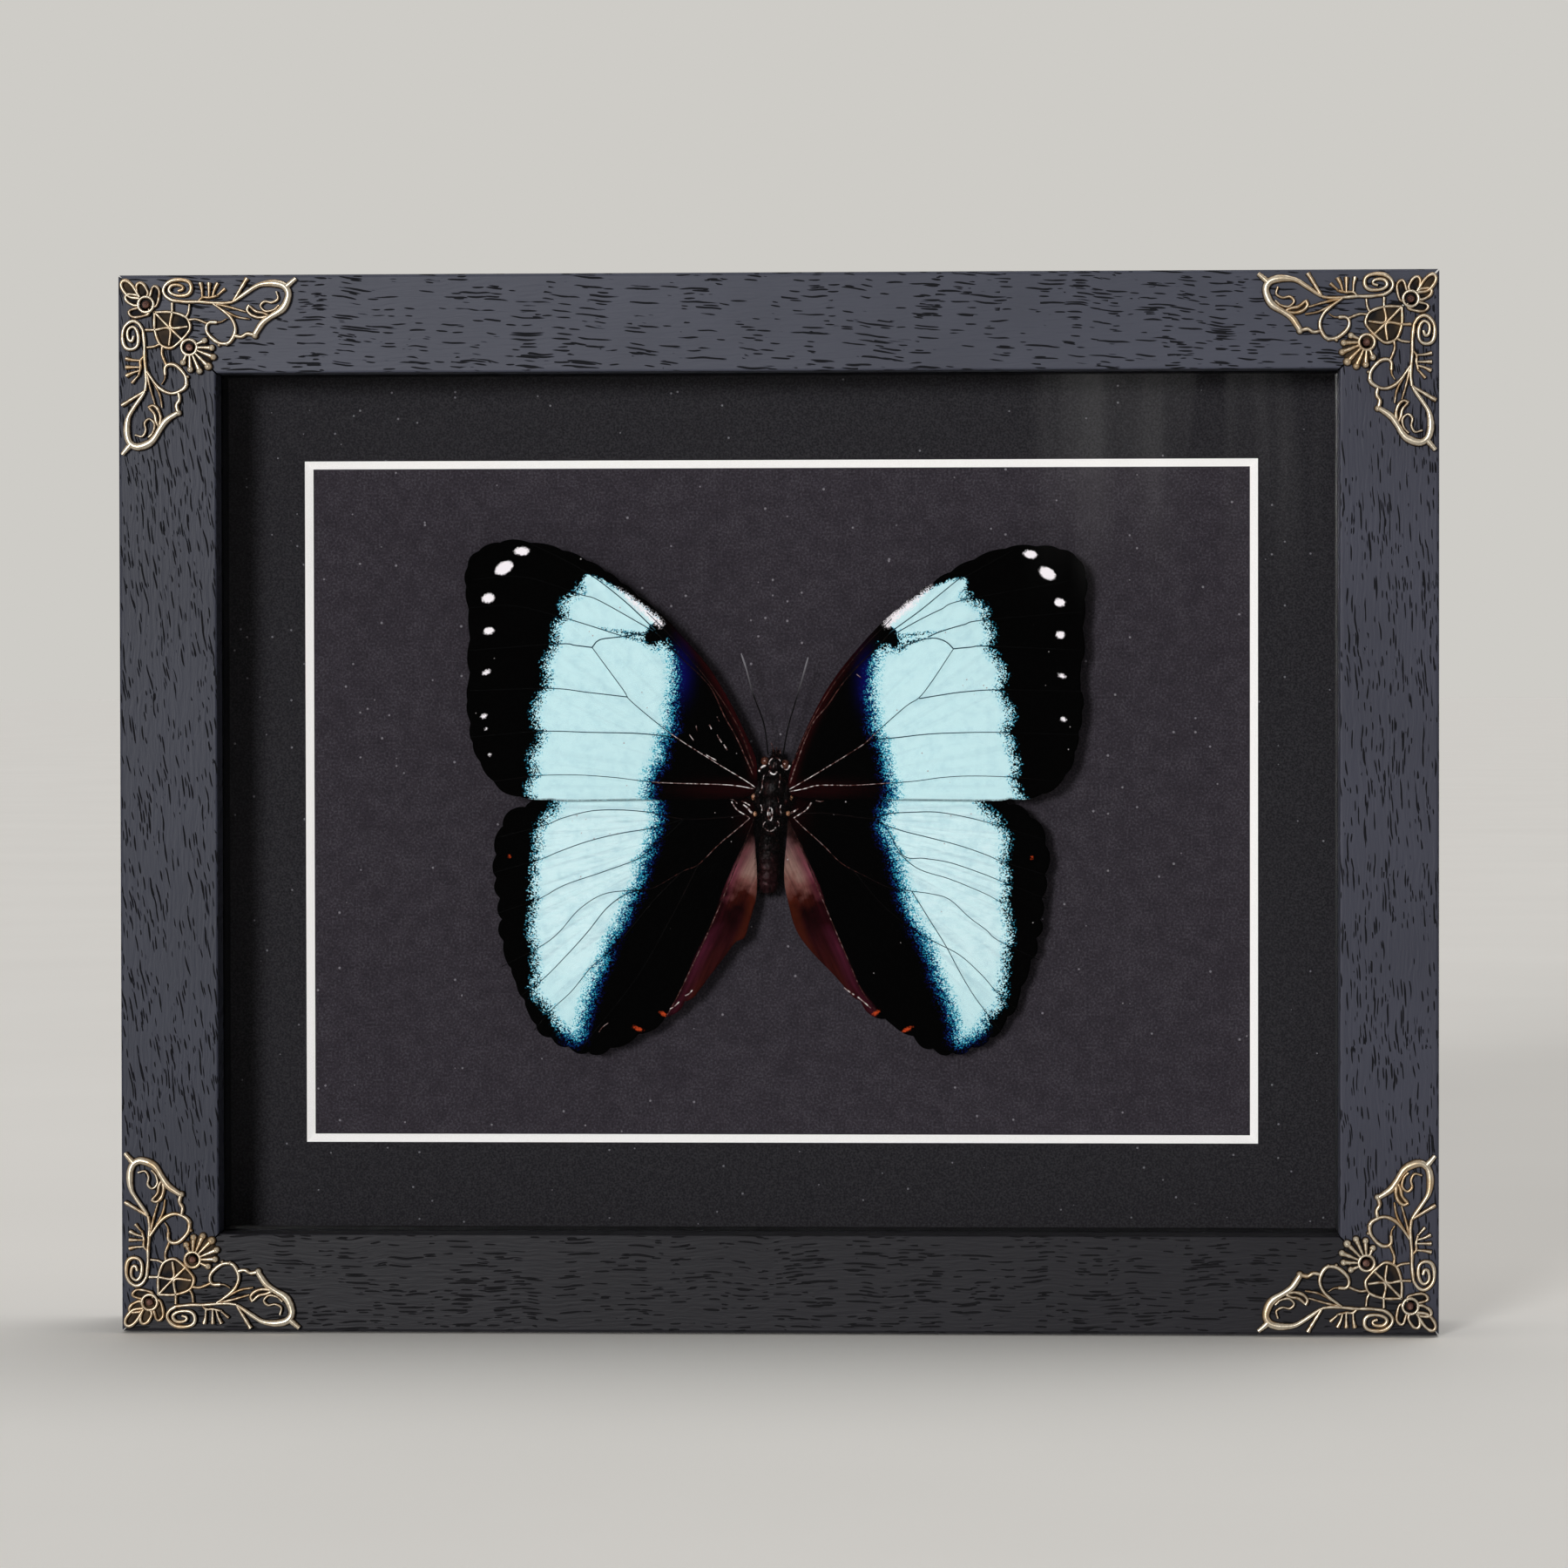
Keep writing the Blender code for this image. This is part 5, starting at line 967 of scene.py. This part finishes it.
# the inner margin: pinkish where it folds beside the abdomen, maroon below
ragged = add("TexNoise", place, Scale=330, Detail=4)
along = add("Math ADD", given["foldRun"], add("Math MULTIPLY_ADD", ragged, 0.26, -0.13))
near = add("ValToRGB", along, stops=(0.0, "#1C0D0D", 0.09, "#553434", 0.22, "#6C3A44", 0.31, "#54242D",
                                     0.38, "#1C0508", 0.50, "#22060B", 0.66, "#401524", 0.90, "#300E17"))
far = add("ValToRGB", along, stops=(0.0, "#241513", 0.07, "#64494A", 0.22, "#7E625A", 0.30, "#6B443F",
                                    0.37, "#34100B", 0.46, "#120304", 0.62, "#24090C", 0.95, "#33110D"))
margin = add("Mix RGBA", add("MapRange", given["foldAcross"], 0.9, 2.6), near, far)
# streaks run down the margin
wide, long = add("Math MULTIPLY", given["foldAcross"], 1.7), add("Math MULTIPLY", given["foldRun"], 3.5)
lines = add("CombineXYZ", wide, long)
lighter = add("MapRange", add("TexNoise", lines, Scale=1, Detail=4), 0.35, 0.7, 0.72, 1.25)
margin = add("VectorMath SCALE", margin, lighter)
# its free edge is orange brown
verge = add("MapRange", given["foldAcross"], 4.8, 6, 0, 0.55)
verge = add("Math MULTIPLY", verge, add("MapRange", along, 0.16, 0.34))
margin = add("Mix RGBA", verge, margin, "#43190C")
edge = add("Math MULTIPLY_ADD", cloud, 0.3, given["fold"])
colour = add("Mix RGBA", add("MapRange", edge, -0.25, 0.35), colour, margin)
for key, tone, softness in (("white", "#F8F2F7", 0.1), ("orange", "#B4401E", 0.09)):
    noisy = add("Math MULTIPLY_ADD", speck, softness, given[key])
    colour = add("Mix RGBA", add("MapRange", noisy, -0.05, 0.2), colour, tone)
# a few loose pale scales lie on the dark parts
colour = flecked(add, place, colour, "#A9A4A6", 900, 0.974, 0.13, 1)
height = add("Math MULTIPLY_ADD", add("Math MULTIPLY", folds, given["creased"]), 16, scales["Distance"])
feed(shader, BaseColor=colour, Normal=add("Bump", Height=height, Distance=0.02 * mm, Strength=0.5))

# Hollow cuticle ribs: slate where they cross the band, brown to pinkish white where the scales are rubbed off
# or where a painted glint falls

veinAndGlintMaterial, shader, add, place = newMaterial("wing vein and painted glint, bare cuticle", Roughness=0.5,
                                               SpecularIORLevel=0.02)
tone, onBand = (add("Attribute", attribute_name=key).outputs["Fac"] for key in ("tone", "onBand"))
worn = add("MapRange", add("TexNoise", place, Scale=1300, Detail=2), 0.35, 0.6, 0.3, 1)
bare = add("ValToRGB", add("Math MULTIPLY", tone, worn),
           stops=(0.0, "#010101", 0.15, "#0F0707", 0.35, "#4A2A26", 0.6, "#9A8887", 1.0, "#F2EEEE"))
feed(shader, BaseColor=add("Mix RGBA", onBand, bare, "#25424E"))


def scalloped(loop, depth):
    # small uneven bays in the outer margin
    before = np.roll(loop, 1, 0)
    along = np.roll(loop, -1, 0) - before
    out = np.column_stack([along[:, 1], -along[:, 0]]) / np.linalg.norm(along, axis=1)[:, None]
    run = np.cumsum(np.linalg.norm(loop - before, axis=1))
    bay = 1 - np.abs(np.sin(run / membrane["bayWidth"] + 0.9 * np.sin(run / membrane["bayDrift"]))) ** 0.7
    share = smoothStep(np.hypot(loop[:, 0], loop[:, 1]), *membrane["bayFrom"])
    return loop - out * (depth * bay * share)[:, None]


def makeWing(name, wing):
    side, isFore = wing["side"], name.startswith("fore")
    loop = leftTurned(smoothPath(wing["outline"], membrane["rimStep"], True))
    loop = scalloped(loop, membrane["forewingBays" if isFore else "hindwingBays"])
    points, faces = filled(loop, membrane["spacing"], membrane["inset"])
    lines = [smoothPath(vein[0], membrane["veinStep"]) for vein in wing["veins"]]
    found = wingAttributes(points, wing, isFore, lines)
    # only the forewing's hind edge lies over another wing, so only there does the distance to the edge place
    # the painted shadow line
    rim = np.abs(signedDistance(points, loop))
    found["rim"] = np.where(points[:, 1] < 2, np.clip(rim, 0, 3), 3) if isFore else np.full(len(points), 3.0)
    ridge = membrane["ridge"] * np.exp(-(found["vein"] / membrane["ridgeWidth"]) ** 2)
    pleat = 0.5 + 0.5 * np.sin(found["fan"] * (0.7 if isFore else 1.35) + 1.2 * np.sin(found["reach"] / 11))
    depth = wingDepth(points, wing["depth"]) - ridge
    depth += membrane["pleatRise"] * pleat * smoothStep(found["vein"], 0.2, 1.0)
    inPlace = placed(np.column_stack([side * points[:, 0], np.zeros(len(points)), points[:, 1]]), depth)
    # a left wing is drawn mirrored, so its faces already look at the glass the other way round
    faces = [f[::-1] for f in faces] if side < 0 else faces
    sheet = baked(newMesh(name, inPlace, faces, found, material=membraneMaterial),
                  {"thickness": membrane["thickness"] * mm, "offset": 0.0, "use_rim": True})
    band = smoothPath(wing["band"], membrane["bandStep"], True)
    strokes = []
    for line, (_, startHalf, endHalf, *tones) in zip(lines, wing["veins"]):
        share = np.linspace(0, 1, len(line))
        lift = wingDepth(line, wing["depth"]) - membrane["ridge"] - membrane["thickness"] / 2
        strokes.append({"points": overSpecimen(line, lift, side),
                        "half": np.interp(share, (0, 1), (startHalf, endHalf)),
                        "tone": np.interp(share, (0, 0.45, 1), tones or (0, 0, 0)),
                        "onBand": smoothStep(signedDistance(line, band), -0.3, 0.5)})
    ribs = sweptUpright(strokes, membrane["ribSides"], membrane["ribFlatness"], veinAndGlintMaterial)
    showPiece(name.replace("wing", "wing_scaled"), [sheet, ribs], name)


def placed(points, depth):
    # points across, back and up from the thorax at a depth behind the rails' face, in metres
    x, y, z = np.array(points, float).T
    return np.column_stack([specimen[0] + x, faceY + depth + y, specimen[1] + z]) * mm


for name, wing in wings.items():
    makeWing(name, wing)
print("wings made")


# The body: chitin plates under short hair, from lumps placed as they lie in the photo

body = {
    "depth": 15.6, "shake": 0.03, "leastRise": 0.9, "rimStep": 0.25, "rimLift": 0.12,
    # centre across, towards the back and up, radii, hairiness
    "lumps": (
        ((0.5, 0, 5.2), (1.9, 1.9, 1.8), 0.6),
        ((0.1, 0, 2.7), (2.3, 2.4, 1.8), 0.7),
        ((0.1, -0.3, 0.6), (3, 3.2, 3.2), 0.55),
        ((0, -0.3, -2.6), (2.9, 3.1, 2.9), 0.5),
        ((-0.3, -1.5, -4.3), (1, 1.9, 1.2), 0),
        ((-0.3, 0.1, -5.8), (2.3, 2.5, 1.9), 0.6),
        ((-0.5, 0.3, -7.6), (1.8, 2, 1.8), 1),
        ((-2.6, -0.8, -0.6), (1.2, 1.5, 2.6), 0.9),
        ((2.6, -0.8, -0.6), (1.2, 1.5, 2.6), 0.9),
    ),
    "eyes": (((-1.5, -0.4, 5.9), (0.85, 1.2, 0.95)), ((2.45, -0.4, 5.3), (0.85, 1.2, 0.95))),
    "knobs": (((-3.6, -1.2, -1), 0.66), ((3.4, -1.2, -1.1), 0.62), ((-3.1, -1.4, 1), 0.34), ((3, -1.4, 0.8),
        0.34), ((-3.4, -1.1, -4.4), 0.42), ((3, -1.1, -4.3), 0.42)),
    "palps": (((0.15, 0.2, 7.3), (0.4, 0.6, 1)), ((1.1, 0.2, 7.2), (0.4, 0.6, 1))),
    "abdomen": {"start": (-0.7, -8), "end": (-1.05, -19.9), "depth": 16.2, "segments": 6,
                "radii": (1.5, 1.9, 2.05, 2.1, 2.1, 2.1, 2.1, 2.08, 1.95, 1.5),
                "rings": 56, "around": 28, "pinch": 0.16, "pinchFrom": 0.66},
    # painted glints: pale lines along the edges of the plates, on a slight raised rim: points, half width and
    # paleness
    "rims": (
        (path(-0.4, -3.1, -0.75, -3.5, -0.85, -4.3, -0.75, -5.2, -0.4, -5.7, -0.1, -5.2, 0.02, -4.3,
         -0.05, -3.5, -0.4, -3.1), 0.14, 1),
        (path(-0.45, -4, -0.4, -4.6), 0.12, 1),
        (path(-1.5, -7.2, -1, -7.65, -0.45, -7.75, 0.1, -7.55, 0.6, -7.05), 0.12, 0.95),
        (path(-0.6, 4, -0.3, 3.6, 0.25, 3.35, 0.6, 3.5, 0.85, 3.85), 0.16, 1),
        (path(-1.67, 3.2, -1.9, 2, -2, 0.8, -2.5, -0.26), 0.1, 0.85),
        (path(1.46, 3.4, 1.45, 2.1, 1.3, 0.8), 0.09, 0.75),
        (path(-2.7, 3.9, -2.2, 4.7, -1.3, 5.1), 0.2, 1),
        (path(1.7, 5.1, 2.2, 4.5, 2.86, 4.3, 3.4, 5.1), 0.17, 1),
        (path(-0.7, 5.3, -0.5, 6, 0, 6.5), 0.12, 0.8),
        (path(1.5, 5.9, 1.2, 6.4, 0.9, 6.6), 0.11, 0.8),
        (path(0.1, 4.6, 0.3, 5.2, 0.35, 5.7), 0.07, 0.45),
        (path(-0.28, 9.5, 0, 8.6, 0.24, 7.75), 0.08, 0.4),
        (path(1.64, 8.45, 1.5, 7.9, 1.46, 7.4), 0.08, 0.4),
        (path(0.77, 8.6, 0.75, 8, 0.7, 7.4), 0.08, 0.35),
        (path(-2.3, -2.6, -2, -3.3, -2.2, -4.2), 0.1, 0.95),
        (path(1.7, -2.6, 1.5, -3.4, 1.7, -4.3), 0.1, 0.95),
        (path(-1.4, -5.9, -1.8, -6.4, -1.9, -7), 0.09, 0.85),
        (path(1, -5.8, 1.3, -6.3, 1.2, -6.8), 0.09, 0.85),
        (path(0.9, -1, 1.2, -1.6, 1.2, -2.2), 0.05, 0.5),
        (path(-0.9, 0.9, -1.2, 0.2), 0.05, 0.5),
    ),
    "hair": {"Density": 7.0e6, "Length": 1.5 * mm, "Thickness": 0.055 * mm, "Lay": (0.0, -0.15, -1.0),
             "Combing": 0.55, "Seed": 3},
    "antennae": {"antenna_left": path(-0.9, 7.2, -1.7, 13.2, -3.7, 18.8, -5.1, 24, -6.1, 27),
                 "antenna_right": path(2, 7.2, 3.1, 12.8, 4.9, 18.8, 6.3, 23.6, 7, 26.2)},
    "antennaDepths": (15, 14.4, 14, 13.8, 13.8),
    # share of the length, and half width there
    "antennaHalves": ((0, 0.1, 0.75, 0.93, 1), (0.17, 0.15, 0.14, 0.19, 0.1)),
}

# black skin with small glossy spots
chitin, shader, add, place = newMaterial("butterfly body, black chitin", SpecularIORLevel=0.06)
mottle = add("TexNoise", place, Scale=900, Detail=4)
tone = add("ValToRGB", mottle, stops=(0.4, "#030202", 0.58, "#0D0405", 0.74, "#30100E"))
# the abdomen's last rings are dark red
late = add("MapRange", add("SeparateXYZ", place).outputs["Z"], 0.0925, 0.0885, 0, 0.7)
# crumpled, so that the light breaks up into small glints
feed(shader, BaseColor=add("Mix RGBA", late, tone, "#210A0D"),
     Roughness=add("MapRange", mottle, 0.3, 0.7, 0.28, 0.55),
     Normal=add("Bump", Height=mottle, Distance=0.45 * mm, Strength=1))

# the eyes faceted and glossy, the hinges mottled tan, the hair black with a few tan tips
eyeMaterial = patterned("butterfly eye, dry", ("TexVoronoi", 6000), (0.2, "#5E3222", 0.8, "#2A120C"),
                        Roughness=0.25, SpecularIORLevel=0.6)
hingeMaterial = patterned("wing hinge, tan cuticle", ("TexNoise", 1500, 3),
                          (0.35, "#3A1F14", 0.5, "#8A5A3C", 0.7, "#CFA985"), Roughness=0.45)
hairMaterial = patterned("butterfly hair, dark and tan", ("TexNoise", 1500, 2),
                         (0.55, "#030202", 0.68, "#150A08", 0.78, "#5A4032"), Roughness=0.6,
                         SpecularIORLevel=0.02)

# black at the head, grey where the light catches the upper half
antennaMaterial, shader, add, place = newMaterial("antenna, ringed cuticle", Roughness=0.5,
                                                  SpecularIORLevel=0.05)
paler = add("MapRange", add("SeparateXYZ", place).outputs["Z"], 0.123, 0.132)
feed(shader, BaseColor=add("Mix RGBA", paler, "#060506", "#86848A"))


def ball(centre, radii, around=28, rows=16):
    rings = []
    for i in range(rows + 1):
        t = -math.pi / 2 + math.pi * i / rows
        wide = max(math.cos(t), 0.01)
        rings.append((*centre[:2], centre[2] + radii[2] * math.sin(t), radii[0] * wide, radii[1] * wide))
    return ringed(rings, around)


def abdomen():
    # overlapping rings: each segment swells, then steps in before the next
    given = body["abdomen"]
    rings = []
    for share in np.arange(given["rings"]) / (given["rings"] - 1):
        phase = (share * given["segments"]) % 1.0
        radius = np.interp(share, np.linspace(0, 1, len(given["radii"])), given["radii"])
        radius *= 1 - given["pinch"] * max(0, phase - given["pinchFrom"]) / (1 - given["pinchFrom"])
        x, z = (start + (end - start) * share for start, end in zip(given["start"], given["end"]))
        rings.append((x, 0, z, radius, radius))
    return ringed(rings, given["around"], 1)


def bodyRise(x, z):
    # how far the body's lumps stand out towards the glass at a place
    best = body["leastRise"]
    for (cx, cy, cz), (rx, ry, rz), _ in body["lumps"]:
        left = 1 - ((x - cx) / rx) ** 2 - ((z - cz) / rz) ** 2
        if left > 0:
            best = max(best, ry * math.sqrt(left) - cy)
    return best


def bodyMesh(name, skin, material, hairy=None, depth=body["depth"]):
    points, faces = skin
    attributes = {} if hairy is None else {"hairy": np.full(len(points), hairy)}
    return newMesh(name, placed(points, depth), faces, attributes, material=material)


def makeBody():
    rng, shake = random.Random(4), body["shake"]
    skins = []
    for centre, radii, hairy in body["lumps"]:
        points, faces = ball(centre, radii)
        points = [(x + rng.uniform(-shake, shake), y, z + rng.uniform(-shake, shake)) for x, y, z in points]
        skins.append(bodyMesh("lump", (points, faces), chitin, hairy))
    skins.append(bodyMesh("abdomen", abdomen(), chitin, 0.35, body["abdomen"]["depth"]))
    for centre, radii in body["palps"]:
        skins.append(bodyMesh("palp", ball(centre, radii, 12, 8), chitin, 1.0))
    skin = joined("skin", skins)
    turnOutwards(skin.data)
    plates = skin.data.copy()
    bpy.data.objects.remove(skin)
    meshes = [plates, baked(plates.copy(), {**body["hair"], "Material": hairMaterial}, furTree)]
    meshes += [bodyMesh("eye", ball(centre, radii, 24, 14), eyeMaterial) for centre, radii in body["eyes"]]
    for centre, radius in body["knobs"]:
        meshes.append(bodyMesh("knob", ball(centre, (radius, radius, radius * 1.25), 14, 8), hingeMaterial))
    # the glint rims are raised a little and painted pale, for highlights on the plate edges
    strokes = []
    for points, half, tone in body["rims"]:
        line = smoothPath(points, body["rimStep"])
        rise = np.array([bodyRise(px, pz) + body["rimLift"] for px, pz in line])
        strokes.append({"points": overSpecimen(line, body["depth"] - rise), "half": np.full(len(line), half),
                        "tone": np.full(len(line), tone), "onBand": np.zeros(len(line))})
    meshes.append(sweptUpright(strokes, 6, 0.8, veinAndGlintMaterial))
    piece = showPiece("butterfly_body", meshes, "insect_body", outwards=False)
    print("body made:", len(piece.data.polygons), "faces")


makeBody()

for name, points in body["antennae"].items():
    line = smoothPath(points, 0.6)
    share = np.linspace(0, 1, len(line))
    depth = np.interp(share, np.linspace(0, 1, len(body["antennaDepths"])), body["antennaDepths"])
    half = np.interp(share, *body["antennaHalves"])
    stalk = sweptUpright([{"points": overSpecimen(line, depth), "half": half}], 8, 1.0, antennaMaterial)
    showPiece(name + "_thin", [stalk], name)
print("antennae made")
